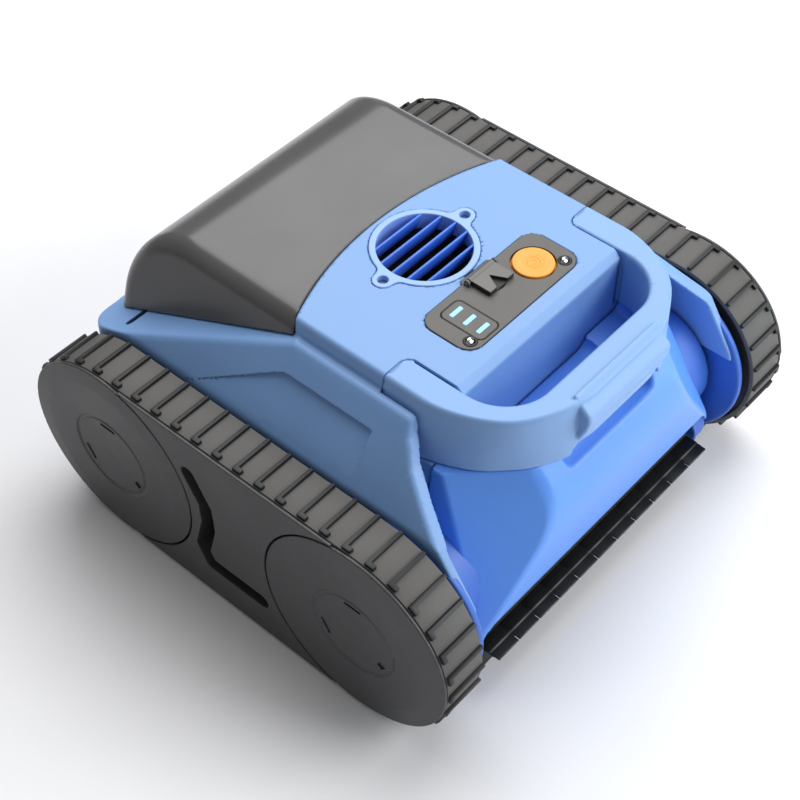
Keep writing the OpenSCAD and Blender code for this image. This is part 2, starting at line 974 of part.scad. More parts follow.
module brush_gear() {
  color("#B08D57")
    translate([gear_x, brush_y, brush_z])
      difference() {
        rotate([90, 0, 90])
          linear_extrude(gear_w)
            rotate(brush_phase)
              gear_outline(pinion_teeth);
        translate([-1, 0, 0])
          rotate([0, 90, 0])
            cylinder(h = gear_w + 2, r = brush_shaft_r, $fn = 72);
      }
}
// Angle of the line from the axle to the brush, and the phase that meshes the brush gear there
brush_a = atan2(-brush_dz, -brush_dy);
axle_phase = motor_a + 180 / axle_teeth;
brush_phase = brush_a + 180 + 180 / pinion_teeth
  + (axle_phase - brush_a) * -axle_teeth / pinion_teeth;

// Plain bushes of the brush shaft in the cheeks.
module brush_bushes() {
  color("#D9D4C5")
    for (side = [-1, 1])
      on_side(side)
        difference() {
          union() {
            rod_x(cheek_x - cheek_t, cheek_x, brush_y, brush_z, brush_shaft_r + 3);
            rod_x(cheek_x - cheek_t - 2, cheek_x - cheek_t, brush_y, brush_z, brush_shaft_r + 5);
          }
          rod_x(cheek_x - 20, cheek_x + 20, brush_y, brush_z, brush_shaft_r + run);
        }
}

// ---- outlet grille and controls ------------------------------------------------------------

module grille_plan(gap) {
  translate([0, grille_y])
    circle(grille_r + 4.5 + gap, $fn = 96);
  for (side = [-1, 1]) {
    translate([side * (grille_r + 9.5), grille_y])
      circle(7.5 + gap, $fn = 48);
    translate([side * (grille_r + 4) - 6 - gap, grille_y - 9 - gap])
      square([12 + 2 * gap, 18 + 2 * gap]);
  }
}

// Round grille with two screw ears and tilted slats across it.
module outlet_grille() {
  slat_n = 5;
  pitch = 2 * grille_r / (slat_n + 0.75);
  color("#8FB8F0")
    difference() {
      union() {
        difference() {
          translate([0, 0, deck_h - 1.8])
            linear_extrude(2.1)
              grille_plan(0);
          translate([0, grille_y, deck_h - 10])
            cylinder(h = 20, r = grille_r - 0.5, $fn = 96);
        }
        difference() {
          translate([0, grille_y, deck_h - 14])
            cylinder(h = 13, r = grille_r + 1, $fn = 96);
          translate([0, grille_y, deck_h - 15])
            cylinder(h = 20, r = grille_r - 0.5, $fn = 96);
        }
        intersection() {
          translate([0, grille_y, deck_h - 14])
            cylinder(h = 14, r = grille_r, $fn = 96);
          for (i = [0:slat_n - 1])
            translate([0, grille_y + (i - (slat_n - 1) / 2) * pitch, deck_h - 0.6])
              rotate([24, 0, 0])
                translate([-grille_r, -1, -20])
                  cube([2 * grille_r, 2, 20]);
        }
        for (side = [-1, 1])
          translate([side * (grille_r + 9.5), grille_y, deck_h - 9])
            cylinder(h = 8, r = 4.4, $fn = 48);
      }
      for (side = [-1, 1])
        translate([side * (grille_r + 9.5), grille_y, 0]) {
          translate([0, 0, deck_h - 6])
            cylinder(h = 20, r = 3.4, $fn = 48);
          translate([0, 0, deck_h - 20])
            cylinder(h = 20, r = 1.5, $fn = 48);
        }
    }
}

module grille_screws() {
  color("silver")
    for (side = [-1, 1])
      translate([side * (grille_r + 9.5), grille_y, deck_h - 6]) {
        cylinder(h = 2, r = 3.2, $fn = 48);
        translate([0, 0, -9])
          cylinder(h = 9, r = 1.5, $fn = 48);
      }
}

module panel_plan(gap) {
  round_rect(
    [-panel_w / 2 + 2 - gap, panel_front - gap],
    [panel_w / 2 + 2 + gap, panel_front + panel_d + gap],
    12
  );
}

// Dark panel plate with its openings and the two ears of the charging cap.
module control_panel() {
  color("#74726F")
    difference() {
      union() {
        translate([0, 0, panel_z])
          linear_extrude(2)
            panel_plan(0);
        for (side = [-1, 1])
          translate([cap_x + side * (cap_w / 2 + 1.6), cap_y - 3, cap_z])
            cap_ear();
      }
      translate([button_x, button_y, panel_z - 1])
        cylinder(h = 10, r = button_r + 0.9, $fn = 96);
      translate([cap_x, cap_y - cap_d / 2 - 2, panel_z - 1])
        cylinder(h = 10, r = socket_r + 2, $fn = 72);
      translate([0, 0, panel_z + 0.6])
        linear_extrude(5)
          window_plan(0);
      for (p = [[dome_x, dome_y], [-dome_x + 3, dome_y]])
        translate([p[0], p[1], 0]) {
          translate([0, 0, panel_z + 0.5])
            cylinder(h = 5, r = 4.4, $fn = 48);
          translate([0, 0, panel_z - 1])
            cylinder(h = 5, r = 1.6, $fn = 32);
        }
      rod_x(cap_x - cap_w, cap_x + cap_w, cap_y - 3, cap_z, cap_pin_r);
    }
}

module cap_ear() {
  rod_x(-1, 1, 0, 0, 2.4);
  block([-1, -2.4, -cap_z + panel_z + 1.5], [1, 2.4, 0]);
}

module window_plan(inset) {
  round_rect(
    [window_x - 11 + inset, window_y - 19 + inset],
    [window_x + 11 - inset, window_y + 19 - inset],
    5 - inset
  );
}

module led_window() {
  color("#6A6864")
    difference() {
      translate([0, 0, panel_z + 0.6])
        linear_extrude(1.5)
          window_plan(0);
      for (i = [-1:1])
        translate([0, 0, panel_z])
          linear_extrude(5)
            led_plan(i);
    }
}

module led_plan(i) {
  round_rect(
    [window_x - 6, window_y + i * 11.5 - 1.8],
    [window_x + 6, window_y + i * 11.5 + 1.8],
    0.9
  );
}

module led_bars() {
  color("#8FC4E8")
    for (i = [-1:1])
      translate([0, 0, panel_z + 0.6])
        linear_extrude(1.7)
          led_plan(i);
}

module panel_screws() {
  color("silver")
    for (p = [[dome_x, dome_y], [-dome_x + 3, dome_y]])
      translate([p[0], p[1], panel_z + 0.5]) {
        rotate_extrude($fn = 48)
          polygon([[0, 0], [3, 0], [3, 0.5], [2.3, 1.3], [1.2, 1.7], [0, 1.8]]);
        translate([0, 0, -7])
          cylinder(h = 7, r = 1.6, $fn = 32);
      }
}

// Power button: dished cap with a collar that stops it under the deck.
module power_button() {
  color("#F5B054")
    translate([button_x, button_y, 0])
      rotate_extrude($fn = 96)
        polygon([
          [0, button_low],
          [button_r + 2, button_low],
          [button_r + 2, button_low + 2],
          [button_r, button_low + 2],
          [button_r, deck_h + 0.6],
          [button_r - 0.8, deck_h + 1.4],
          [button_r - 3, deck_h + 1.6],
          [6, deck_h + 0.9],
          [0, deck_h + 0.5]
        ]);
}
button_low = deck_h - wall - 2.2;
well_z = button_low - 12;

// Well under the button that guides its spring.
module button_housing() {
  color("#4B4B4D")
    translate([button_x, button_y, 0])
      difference() {
        translate([0, 0, well_z - 2])
          cylinder(h = deck_h - wall - well_z + 2, r = button_r + 5, $fn = 96);
        translate([0, 0, well_z])
          cylinder(h = deep, r = button_r + 3, $fn = 96);
      }
}

// Coil spring under the button, as one swept wire.
module button_spring() {
  turns = 4;
  steps = 16;
  wire = 0.7;
  mean = 7;
  sides = 6;
  n = turns * steps;
  length = button_low - well_z - 2 * wire;
  ring = [
    for (i = [0:n])
      for (k = [0:sides - 1])
        let (a = i * 360 / steps)
        let (q = mean + wire * cos(k * 360 / sides))
        [q * cos(a), q * sin(a), well_z + wire + length * i / n + wire * sin(k * 360 / sides)]
  ];
  tube = [
    for (i = [0:n - 1])
      for (k = [0:sides - 1])
        [
          i * sides + k,
          (i + 1) * sides + k,
          (i + 1) * sides + (k + 1) % sides,
          i * sides + (k + 1) % sides
        ]
  ];
  color("silver")
    translate([button_x, button_y, 0])
      polyhedron(
        ring,
        concat(
          tube,
          [[for (k = [0:sides - 1]) k]],
          [[for (k = [sides - 1:-1:0]) n * sides + k]]
        )
      );
}

// Hinged cap of the charging socket, with a finger notch and a plug below.
module charge_cap() {
  front = cap_y - cap_d;
  color("#3B3A38")
    difference() {
      union() {
        block([cap_x - cap_w / 2, front, panel_z + 2.3], [cap_x + cap_w / 2, cap_y - 3, cap_z + 1.8]);
        rod_x(cap_x - cap_w / 2, cap_x + cap_w / 2, cap_y - 3, cap_z, 2.3);
        translate([cap_x, cap_y - cap_d / 2 - 2, panel_z - 0.6])
          cylinder(h = 4, r = socket_r - 1.7, $fn = 72);
      }
      translate([cap_x, front, panel_z + 3.2])
        linear_extrude(10)
          polygon([[-6, -1], [6, -1], [0, 12]]);
      rod_x(cap_x - cap_w, cap_x + cap_w, cap_y - 3, cap_z, cap_pin_r + run);
    }
}

module cap_pin() {
  color("silver")
    rod_x(cap_x - cap_w / 2 - 2.6, cap_x + cap_w / 2 + 2.6, cap_y - 3, cap_z, cap_pin_r);
}

// Charging socket with its two pins.
module charge_socket() {
  color("#2B2B2D")
    translate([cap_x, cap_y - cap_d / 2 - 2, 0]) {
      difference() {
        translate([0, 0, socket_z - 2])
          cylinder(h = deck_h + 0.4 - socket_z + 2, r = socket_r + 2, $fn = 72);
        translate([0, 0, socket_z])
          cylinder(h = deep, r = socket_r, $fn = 72);
      }
      for (side = [-1, 1])
        translate([side * 3, 0, socket_z - 0.5])
          cylinder(h = 5, r = 1, $fn = 24);
    }
}

// Sealed control board, hung under the deck on four posts.
module control_board() {
  color("#2F6B45") {
    block([-board_x, panel_front + 2, board_z], [board_x, panel_front + panel_d - 4, board_z + 6]);
    for (x = [-board_x + 3, board_x - 3])
      for (y = [panel_front + 5, panel_front + panel_d - 7])
        translate([x, y, board_z])
          cylinder(h = deck_h - wall - board_z, r = 2.4, $fn = 32);
  }
}

module battery_pack() {
  color("#3C3F45")
    translate([0, 0, floor_z + wall])
      linear_extrude(battery_h)
        round_rect([-56, -axle_y + 16], [56, grille_y - 12], 8);
}

// ---- pump ----------------------------------------------------------------------------------

duct_z0 = floor_z + 82;
leg_z = floor_z + wall;
pump_z = duct_z0 + 52;

// Tube from the flooded hull to the outlet grille, with the spider of the pump motor.
module pump_duct() {
  color("#4B4B4D")
    translate([0, grille_y, 0]) {
      difference() {
        translate([0, 0, duct_z0])
          cylinder(h = deck_h - 14 - duct_z0, r = duct_r + 2.5, $fn = 96);
        translate([0, 0, duct_z0 - 1])
          cylinder(h = deep, r = duct_r, $fn = 96);
      }
      difference() {
        union()
          for (a = [0, 120, 240])
            rotate(a)
              translate([0, -1.5, duct_z0])
                cube([duct_r + 1, 3, 10]);
        translate([0, 0, duct_z0 - 1])
          cylinder(h = deep, r = 22, $fn = 96);
      }
      for (side = [-1, 1])
        translate([side * (duct_r + 1) - 4, -4, leg_z])
          cube([8, 8, duct_z0 - leg_z]);
    }
}

module pump_motor() {
  color("#8C8F93")
    translate([0, grille_y, 0])
      difference() {
        union() {
          translate([0, 0, duct_z0])
            cylinder(h = pump_z - duct_z0 - 4, r = 22, $fn = 96);
          translate([0, 0, pump_z - 4])
            cylinder(h = 3, r = 8, $fn = 48);
        }
        translate([0, 0, pump_z - 22])
          cylinder(h = 30, r = pump_shaft_r + run, $fn = 48);
      }
}

// Axial impeller on its shaft.
module impeller() {
  color("#E4E4E2")
    translate([0, grille_y, 0]) {
      translate([0, 0, pump_z])
        cylinder(h = 18, r = 9, $fn = 48);
      translate([0, 0, pump_z - 20])
        cylinder(h = 21, r = pump_shaft_r, $fn = 48);
      intersection() {
        translate([0, 0, pump_z])
          cylinder(h = 18, r = impeller_r, $fn = 96);
        for (a = [0:72:359])
          rotate(a)
            translate([6, 0, pump_z + 9])
              rotate([40, 0, 0])
                translate([0, -1, -14])
                  cube([impeller_r, 2, 28]);
      }
    }
}

// ---- filter --------------------------------------------------------------------------------

// Duct from the suction mouth up to the basket.
module inlet_duct() {
  color("#4B4B4D")
    difference() {
      block(
        [-mouth_w / 2, mouth_y - mouth_d / 2, floor_z],
        [mouth_w / 2, mouth_y + mouth_d / 2, basket_z0]
      );
      block(
        [-mouth_w / 2 + basket_t, mouth_y - mouth_d / 2 + basket_t, floor_z - 1],
        [mouth_w / 2 - basket_t, mouth_y + mouth_d / 2 - basket_t, basket_z0 + 1]
      );
    }
}

module basket_plan(inset) {
  round_rect(
    [-basket_w / 2 + inset, basket_y0 + inset],
    [basket_w / 2 - inset, basket_y1 - inset],
    22 - inset
  );
}

// Frame of the filter basket: open top, windows in its sides, ears for the flap.
module basket_frame() {
  color("#5A5C60")
    difference() {
      union() {
        translate([0, 0, basket_z0])
          linear_extrude(basket_h)
            basket_plan(0);
        translate([0, 0, basket_z1 - 4])
          linear_extrude(4)
            basket_plan(-3);
      }
      difference() {
        translate([0, 0, basket_z0 + basket_t])
          linear_extrude(deep)
            basket_plan(basket_t);
        for (side = [-1, 1])
          block(
            [side * (mouth_w / 2 + 4) - 2, flap_y - 4, basket_z0],
            [side * (mouth_w / 2 + 4) + 2, flap_y + 4, flap_z + 4]
          );
      }
      block(
        [-mouth_w / 2 + 4, mouth_y - mouth_d / 2 + 4, basket_z0 - 1],
        [mouth_w / 2 - 4, mouth_y + mouth_d / 2 - 4, basket_z0 + 5]
      );
      for (i = [-1:1])
        block(
          [i * 60 - 24, basket_y0 - 10, basket_z0 + 14],
          [i * 60 + 24, basket_y1 + 10, basket_z1 - 14]
        );
      for (s = [-1, 1])
        block(
          [-basket_w, (basket_y0 + basket_y1) / 2 + s * 20 - 15, basket_z0 + 14],
          [basket_w, (basket_y0 + basket_y1) / 2 + s * 20 + 15, basket_z1 - 14]
        );
      rod_x(-mouth_w / 2 - 5, mouth_w / 2 + 5, flap_y, flap_z, 1.5 + run);
    }
}

// Fine mesh liner of the basket.
module basket_mesh() {
  color("#C9CCD0")
    difference() {
      translate([0, 0, basket_z0 + 8])
        linear_extrude(basket_h - 16)
          basket_plan(basket_t);
      translate([0, 0, basket_z0])
        linear_extrude(deep)
          basket_plan(basket_t + 0.8);
    }
}

// Two lifting tabs of the basket, near the rear shoulder of the lid.
module basket_tabs() {
  color("#D98A3A")
    for (side = [-1, 1])
      block(
        [side * 84 - 20, basket_y1 - 8, basket_z1],
        [side * 84 + 20, basket_y1 - 4, basket_z1 + 12]
      );
}

// Flap over the suction mouth that swings up when water comes in.
module inlet_flap() {
  color("#2B2B2D") {
    block(
      [-mouth_w / 2 + 1, mouth_y - mouth_d / 2 + 1, flap_z - 1.5],
      [mouth_w / 2 - 1, flap_y, flap_z + 0.5]
    );
    rod_x(-mouth_w / 2 - 4.6, mouth_w / 2 + 4.6, flap_y, flap_z, 1.5);
  }
}

// ---- lid -----------------------------------------------------------------------------------

// Clear dome over the filter bay, hinged at its rear edge.
module lid() {
  color("#77767A")
    difference() {
      union() {
        intersection() {
          difference() {
            lid_solid(0);
            lid_solid(lid_t);
          }
          lid_zone(seam);
        }
        for (side = [-1, 1])
          translate([side * 58, 0, 0]) {
            rod_x(-14.5, 14.5, hinge_y, hinge_z, pin_r + 2.5);
            block([-14.5, rear_y - 7, seam_z2 + 3.6], [14.5, hinge_y, seam_z2 + 8]);
            block([-14.5, hinge_y - 4, hinge_z], [14.5, hinge_y + pin_r + 1, seam_z2 + 8]);
          }
        // snap tongue behind the front edge
        block([-12, lid_front + 2, deck_h - 14], [12, lid_front + 4, deck_h - 1]);
      }
      rod_x(-90, 90, hinge_y, hinge_z, pin_r + run);
    }
}

module lid_pin() {
  color("silver")
    rod_x(-84, 84, hinge_y, hinge_z, pin_r);
}

// ---- floats and fasteners ------------------------------------------------------------------

// Foam float under the deck.
module float_block(side) {
  color("#F2F0EA")
    on_side(side)
      block([duct_r + 20, grille_y - 34, side_z - 8], [deck_half - 14, seam_y0 + 6, deck_h - wall]);
}
module float_left() { float_block(1); }
module float_right() { float_block(-1); }

// Long-pocket screws that hold the upper shell to the tub.
module base_screws() {
  color("silver")
    for (side = [-1, 1])
      for (p = post_at)
        translate([side * p[0], p[1], head_z - 3]) {
          cylinder(h = 3, r = head_r, $fn = 48);
          cylinder(h = split_z - head_z + 3 + 14, r = screw_r, $fn = 48);
        }
}

base_shell();
top_shell();
handle();
front_cowl();
side_frame_left();
side_frame_right();
side_cover_left();
side_cover_right();
belt_left();
belt_right();
wheel_front_left();
wheel_front_right();
wheel_rear_left();
wheel_rear_right();
hub_cap_front_left();
hub_cap_front_right();
hub_cap_rear_left();
hub_cap_rear_right();
axle_front_left();
axle_front_right();
axle_rear_left();
axle_rear_right();
axle_gear_left();
axle_gear_right();
wheel_bushes();
drive_motor_left();
drive_motor_right();
pinion_left();
pinion_right();
brush_core();
brush_fins();
brush_gear();
brush_bushes();
outlet_grille();
grille_screws();
control_panel();
panel_screws();
led_window();
led_bars();
power_button();
button_spring();
button_housing();
charge_cap();
cap_pin();
charge_socket();
control_board();
battery_pack();
pump_motor();
pump_duct();
impeller();
inlet_duct();
inlet_flap();
basket_frame();
basket_mesh();
basket_tabs();
lid();
lid_pin();
float_left();
float_right();
base_screws();
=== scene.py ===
import math

import bmesh
import bpy
import numpy as np
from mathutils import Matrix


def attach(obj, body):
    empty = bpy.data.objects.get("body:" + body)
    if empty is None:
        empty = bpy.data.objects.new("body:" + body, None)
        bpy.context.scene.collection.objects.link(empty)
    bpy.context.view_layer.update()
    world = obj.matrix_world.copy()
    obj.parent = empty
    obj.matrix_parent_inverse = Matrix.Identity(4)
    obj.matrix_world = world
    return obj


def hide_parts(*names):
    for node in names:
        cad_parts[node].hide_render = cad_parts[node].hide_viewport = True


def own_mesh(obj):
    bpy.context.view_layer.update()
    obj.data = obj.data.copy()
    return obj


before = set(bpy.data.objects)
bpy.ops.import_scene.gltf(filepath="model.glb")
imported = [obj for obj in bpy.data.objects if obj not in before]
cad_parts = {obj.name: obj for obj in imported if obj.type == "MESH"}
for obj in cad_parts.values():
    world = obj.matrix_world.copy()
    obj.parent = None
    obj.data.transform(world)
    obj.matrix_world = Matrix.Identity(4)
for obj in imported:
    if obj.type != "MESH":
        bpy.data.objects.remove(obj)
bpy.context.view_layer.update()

import openvdb
from mathutils import Matrix, Vector

# ---- camera ---------------------------------------------------------------------------------
# Looks down at the front right corner of the machine, from a little over a metre away.
eye = Vector((-0.6594, -0.5485, 1.0179))
ahead = Vector((0.50787, 0.43318, -0.74459)).normalized()
right = Vector((0.65474, -0.75582, 0.00687)).normalized()
up = right.cross(ahead).normalized()
camera_data = bpy.data.cameras.new("view")
camera_data.sensor_width = 36.0
camera_data.lens = 1667.93 / 800 * 36.0
camera = bpy.data.objects.new("view", camera_data)
camera.matrix_world = Matrix((
    (right.x, up.x, -ahead.x, eye.x),
    (right.y, up.y, -ahead.y, eye.y),
    (right.z, up.z, -ahead.z, eye.z),
    (0, 0, 0, 1),
))
bpy.context.scene.collection.objects.link(camera)
bpy.context.scene.camera = camera


# ---- blue shells: upper shell with its two fenders ------------------------------------------
# Thick-walled injection moulding in blue ABS, satin from a finely blasted mould. It is one shell
# with the deck, both flared fenders and the rear wall, screwed up from the tub.
def linear(code):
    rgb = [int(code[i:i + 2], 16) / 255 for i in (1, 3, 5)]
    return [c / 12.92 if c < 0.04045 else ((c + 0.055) / 1.055) ** 2.4 for c in rgb] + [1]


def add(tree, kind, links=None, **settings):
    """Adds a node; links maps an input's name or index to a socket or a value."""
    node = tree.nodes.new(kind)
    for key, value in settings.items():
        setattr(node, key, value)
    for key, value in (links or {}).items():
        if isinstance(value, bpy.types.NodeSocket):
            tree.links.new(value, node.inputs[key])
        else:
            node.inputs[key].default_value = value
    return node


def moulded(name, code, rough=0.4, grain_mm=0.5, bump=0.05, tint=0.05, metallic=0.0):
    """A surface with fine grain, faint colour variation and uneven gloss."""
    material = bpy.data.materials.new(name)
    material.use_nodes = True
    tree = material.node_tree
    shader = tree.nodes["Principled BSDF"]
    place = add(tree, "ShaderNodeTexCoord").outputs["Object"]
    grain = add(tree, "ShaderNodeTexNoise",
                {"Vector": place, "Scale": 1000 / grain_mm / 4, "Detail": 2.0})
    cloud = add(tree, "ShaderNodeTexNoise", {"Vector": place, "Scale": 22.0, "Detail": 3.0})
    base = linear(code)
    dark = [c * (1 - tint) for c in base[:3]] + [1]
    light = [min(1, c * (1 + tint)) for c in base[:3]] + [1]
    colour = add(tree, "ShaderNodeMix", {0: cloud.outputs["Fac"], 6: dark, 7: light},
                 data_type="RGBA")
    tree.links.new(colour.outputs[2], shader.inputs["Base Color"])
    gloss = add(tree, "ShaderNodeMapRange",
                {0: cloud.outputs["Fac"], 1: 0.3, 2: 0.7, 3: rough * 0.92, 4: rough * 1.08})
    tree.links.new(gloss.outputs[0], shader.inputs["Roughness"])
    rise = add(tree, "ShaderNodeBump",
               {"Strength": bump, "Distance": grain_mm / 4000, "Height": grain.outputs["Fac"]})
    tree.links.new(rise.outputs[0], shader.inputs["Normal"])
    shader.inputs["Metallic"].default_value = metallic
    shader.inputs["IOR"].default_value = 1.5
    return material


def meet(*fields, r=0.0):
    """Intersection of solids given as distance fields, its edges rounded to radius r."""
    if r <= 0:
        out = fields[0]
        for f in fields[1:]:
            out = np.maximum(out, f)
        return out
    inside = meet(*fields)
    total = 0
    for f in fields:
        total = total + np.maximum(f + r, 0) ** 2
    return np.where(inside > -r, np.sqrt(total) - r, inside)


def join(*fields, r=0.0):
    """Union of solids, its inner corners filled to radius r."""
    return -meet(*[-f for f in fields], r=r)


def oblong(u, v, half_u, half_v, r):
    """Rectangle with round corners round the origin, in the plane of u and v."""
    a, b = abs(u) - half_u + r, abs(v) - half_v + r
    return np.hypot(np.maximum(a, 0), np.maximum(b, 0)) + np.minimum(np.maximum(a, b), 0) - r


def mesh_of(name, points, faces, normals=None):
    mesh = bpy.data.meshes.new(name)
    mesh.from_pydata([tuple(p) for p in points], [], faces)
    mesh.validate()
    mesh.polygons.foreach_set("use_smooth", [True] * len(mesh.polygons))
    if normals is not None:
        mesh.normals_split_custom_set_from_vertices([tuple(n) for n in normals])
    piece = bpy.data.objects.new(name, mesh)
    bpy.context.scene.collection.objects.link(piece)
    return piece


def carve(name, low, high, cell, field, adapt=0.0):
    """Mesh of the surface where field (x, y, z), in mm, is zero, with exact smooth normals."""
    low, high = np.minimum(low, high).astype(float), np.maximum(low, high).astype(float)
    count = np.ceil((high - low) / cell).astype(int) + 1
    axes = [low[i] + cell * np.arange(count[i]) for i in range(3)]
    x, y, z = np.meshgrid(*axes, indexing="ij", sparse=True)
    values = np.broadcast_to(field(x, y, z), tuple(count))
    grid = openvdb.FloatGrid(3.0)
    grid.copyFromArray(np.clip(values / cell, -3, 3).astype(np.float32))
    points, tris, quads = grid.convertToPolygons(isovalue=0, adaptivity=adapt)
    points = points.astype(float) * cell + low

    def slope(p, step=0.02):
        parts = []
        for i in range(3):
            shift = np.zeros(3)
            shift[i] = step
            ahead_p, behind_p = p + shift, p - shift
            parts.append((field(*ahead_p.T) - field(*behind_p.T)) / (2 * step))
        return np.stack(parts, 1)

    for _ in range(3):
        g = slope(points)
        size = np.maximum((g * g).sum(1), 0.05)
        move = -(field(*points.T) / size)[:, None] * g
        reach = np.linalg.norm(move, axis=1)
        move *= (np.minimum(reach, cell * 0.7) / np.maximum(reach, 1e-9))[:, None]
        points = points + move
    normals = slope(points)
    normals /= np.maximum(np.linalg.norm(normals, axis=1), 1e-6)[:, None]
    faces = [list(map(int, f)) for f in quads] + [list(map(int, f)) for f in tris]
    a, b, c = (points[[f[i] for f in faces]] for i in range(3))
    if (np.cross(b - a, c - a) * normals[[f[0] for f in faces]]).sum() < 0:
        faces = [f[::-1] for f in faces]
    return mesh_of(name, points / 1000, faces, normals)


def finish(piece, material, body, slot, *nodes):
    piece.data.materials.clear()
    piece.data.materials.append(material)
    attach(piece, body)
    if nodes:
        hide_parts(*nodes)
    return piece


deck_z, rim_z, wall_mm = 226.0, 213.6, 3.0
side_lean = 0.168
slot_half, slot_front, slot_rear = 87.0, -154.0, -114.0
grille_y, panel_mid, panel_half = -7.0, (2.0, -74.0), (61.0, 23.0)
button_at, socket_at = (37.0, -74.0), (4.0, -64.0)
arc_y, arc_r = -235.0, 271.0


def tower(x, y, z, r):
    """Body above the fenders: deck and its steep walls, with blunt front corners."""
    w = abs(x)
    side = (w - 110 - side_lean * (deck_z - z)) / 1.014
    corner = (w - y) * 0.7071 - 170.6
    nose = (-y - 177.5 - 0.08 * (deck_z - z)) / 1.003
    plan = meet(side, corner, nose, r=24)
    return meet(plan, z - deck_z, r=r)


def lid_seam(y, z):
    """Above zero where the lid's sloping lower edge is passed, going up."""
    return np.maximum(z - 214.5, (z - 214.5 + 0.4 * (y - 7)) / 1.077)


def lid_space(x, y, z):
    """Negative in the space of the lid, behind the curved rear edge of the deck."""
    return np.maximum(arc_r - np.hypot(x, y - arc_y), -lid_seam(y, z))


def handle_zone(x, y, gap):
    """Negative where the handle stands, seen from above."""
    arm = meet(86.5 - abs(x), y + 66, r=8)
    return np.minimum(arm, y - slot_rear) - gap


def lid_outer(x, y, z):
    """Outside of the clear lid, before it is cut along its seam."""
    w = abs(x)
    side = (w - 110 - 0.30 * (deck_z - z)) / 1.044
    arc = np.hypot(np.maximum(y - 114, 0), np.maximum(z - 165, 0)) - 61
    rear = np.where((y > 114) & (z > 165), arc, np.maximum(z - deck_z, y - 175))
    return meet(side, rear, r=11)


def flare_face(w, y, z):
    """Slanted outer face of the fender, with its long shallow scoop."""
    flare = 0.8206 * w + 0.5715 * z - 219.95
    depth = 3.0 * np.clip((z - 166) / 28, 0, 1)
    scoop = meet(z - 196.0, -y - 74.0, (y - 34 + (z - 181) * 1.9) / 2.15, r=1.5)
    return meet(flare, -np.maximum(scoop, -(flare + depth)), r=0.8)


def fender(x, y, z):
    """Flared wing over the belt: thin in front, where it ends in a swept edge."""
    w = abs(x)
    flare = flare_face(w, y, z)
    top = np.maximum(z - rim_z, (z - rim_z + 0.39 * (y - 7)) / 1.073)
    front_line = np.interp(z, [112, 158, 173, 189, 199, 203, 214],
                           [-184, -153, -132, -112, -105, -101, -97])
    front = (front_line - y) * 0.62
    solid = meet(flare, w - 158, y - 184, top, front, r=2.2)
    inner = np.where(y < -112, -9.0, 108 + side_lean * (deck_z - z) - w)
    pocket = meet(flare + 9, w - 149.5, inner, y + 84, r=2)
    return meet(solid, -pocket, r=1.5)


def panel_plan(x, y):
    """Outline of the control panel, with the small step beside the charging cap."""
    plate = oblong(x - panel_mid[0], y - panel_mid[1], *panel_half, 12)
    across = abs(x - socket_at[0])
    step = meet(across - 15.5, abs(y + 60) - 12, (across + y + 34) * 0.7)
    return join(plate, step, r=2)


def grille_plan(x, y):
    """Outline of the grille plate: ring and ears, blended."""
    return join(np.hypot(x, y - grille_y) - 39, np.hypot(abs(x) - 44, y - grille_y) - 7.6, r=7)


def top_shell_field(x, y, z):
    w = abs(x)
    upper = meet(tower(x, y, z, 3.2), y - 184)
    upper = meet(upper, -(y + np.where(z < 150, 120.6, 113.6)))
    wing = fender(x, y, z)
    rear_block = meet(w - 158, y - 184, z - 214 + 0.4 * np.maximum(y - 7, 0),
                      -(y - 4), flare_face(w, y, z), r=4)
    body = join(upper, wing, rear_block, r=1.6)
    plan = oblong(x, y + 3, 158, 187, 24)
    body = meet(body, plan, r=3)
    shell = np.maximum(body, -(np.maximum(body, np.minimum(upper, rear_block)) + wall_mm))
    slot_wall = meet(w - slot_half, abs(y - slot_rear - 5) - 5, z - 225, 160 - z, r=1)
    shell = np.minimum(shell, np.maximum(slot_wall, body))
    shell = np.maximum(shell, 112.2 - z)
    under = meet(flare_face(w, y, z) + 8, w - 149.5, z - 158, -(y + 112), y - 150, r=3)
    shell = np.maximum(shell, -under)
    lid_gap = lid_space(x, y, z) - 0.1
    shell = meet(shell, -lid_gap, r=0.9)
    bay = np.maximum(oblong(x, y - 76, 112, 96, 30), 118 - z)
    bay = np.maximum(bay, arc_r + 1 - np.hypot(x, y - arc_y))
    shell = np.maximum(shell, -np.maximum(bay, 2 - y))
    handle_gap = np.maximum(handle_zone(x, y, 0.25), 177.6 - z)
    handle_gap = np.maximum(handle_gap, tower(x, y, z, 3.2) - 1.5)
    shell = meet(shell, -handle_gap, r=0.7)
    bevel = (z - deck_z + (slot_rear + 6 - y)) / 1.414
    shell = meet(shell, -np.maximum(-bevel, w - slot_half + 0.5), r=1.0)
    ring = np.hypot(x, y - grille_y)
    shell = np.maximum(shell, -np.maximum(grille_plan(x, y) - 0.3, deck_z - 1.9 - z))
    shell = np.maximum(shell, -np.maximum(ring - 35.6, 200 - z))
    ear_hole = np.hypot(w - 44, y - grille_y) - 5.6
    shell = np.maximum(shell, -np.maximum(ear_hole, 200 - z))
    shell = np.maximum(shell, -np.maximum(panel_plan(x, y) - 0.3, deck_z - 1.7 - z))
    for at, radius in ((button_at, 17.4), (socket_at, 9.8)):
        hole = np.hypot(x - at[0], y - at[1]) - radius
        shell = np.maximum(shell, -np.maximum(hole, 200 - z))
    return shell


# Satin: broad soft highlights, with a fine blasted grain close to.
blue_deck = moulded("blue ABS, satin moulded deck", "#7BA3D8", rough=0.48)
top_shell = carve("upper_shell", (-161, -190, 108), (161, 187, 229), 1.5,
                  top_shell_field, adapt=0.02)
finish(top_shell, blue_deck, "hull", "shell_mid", "top_shell")


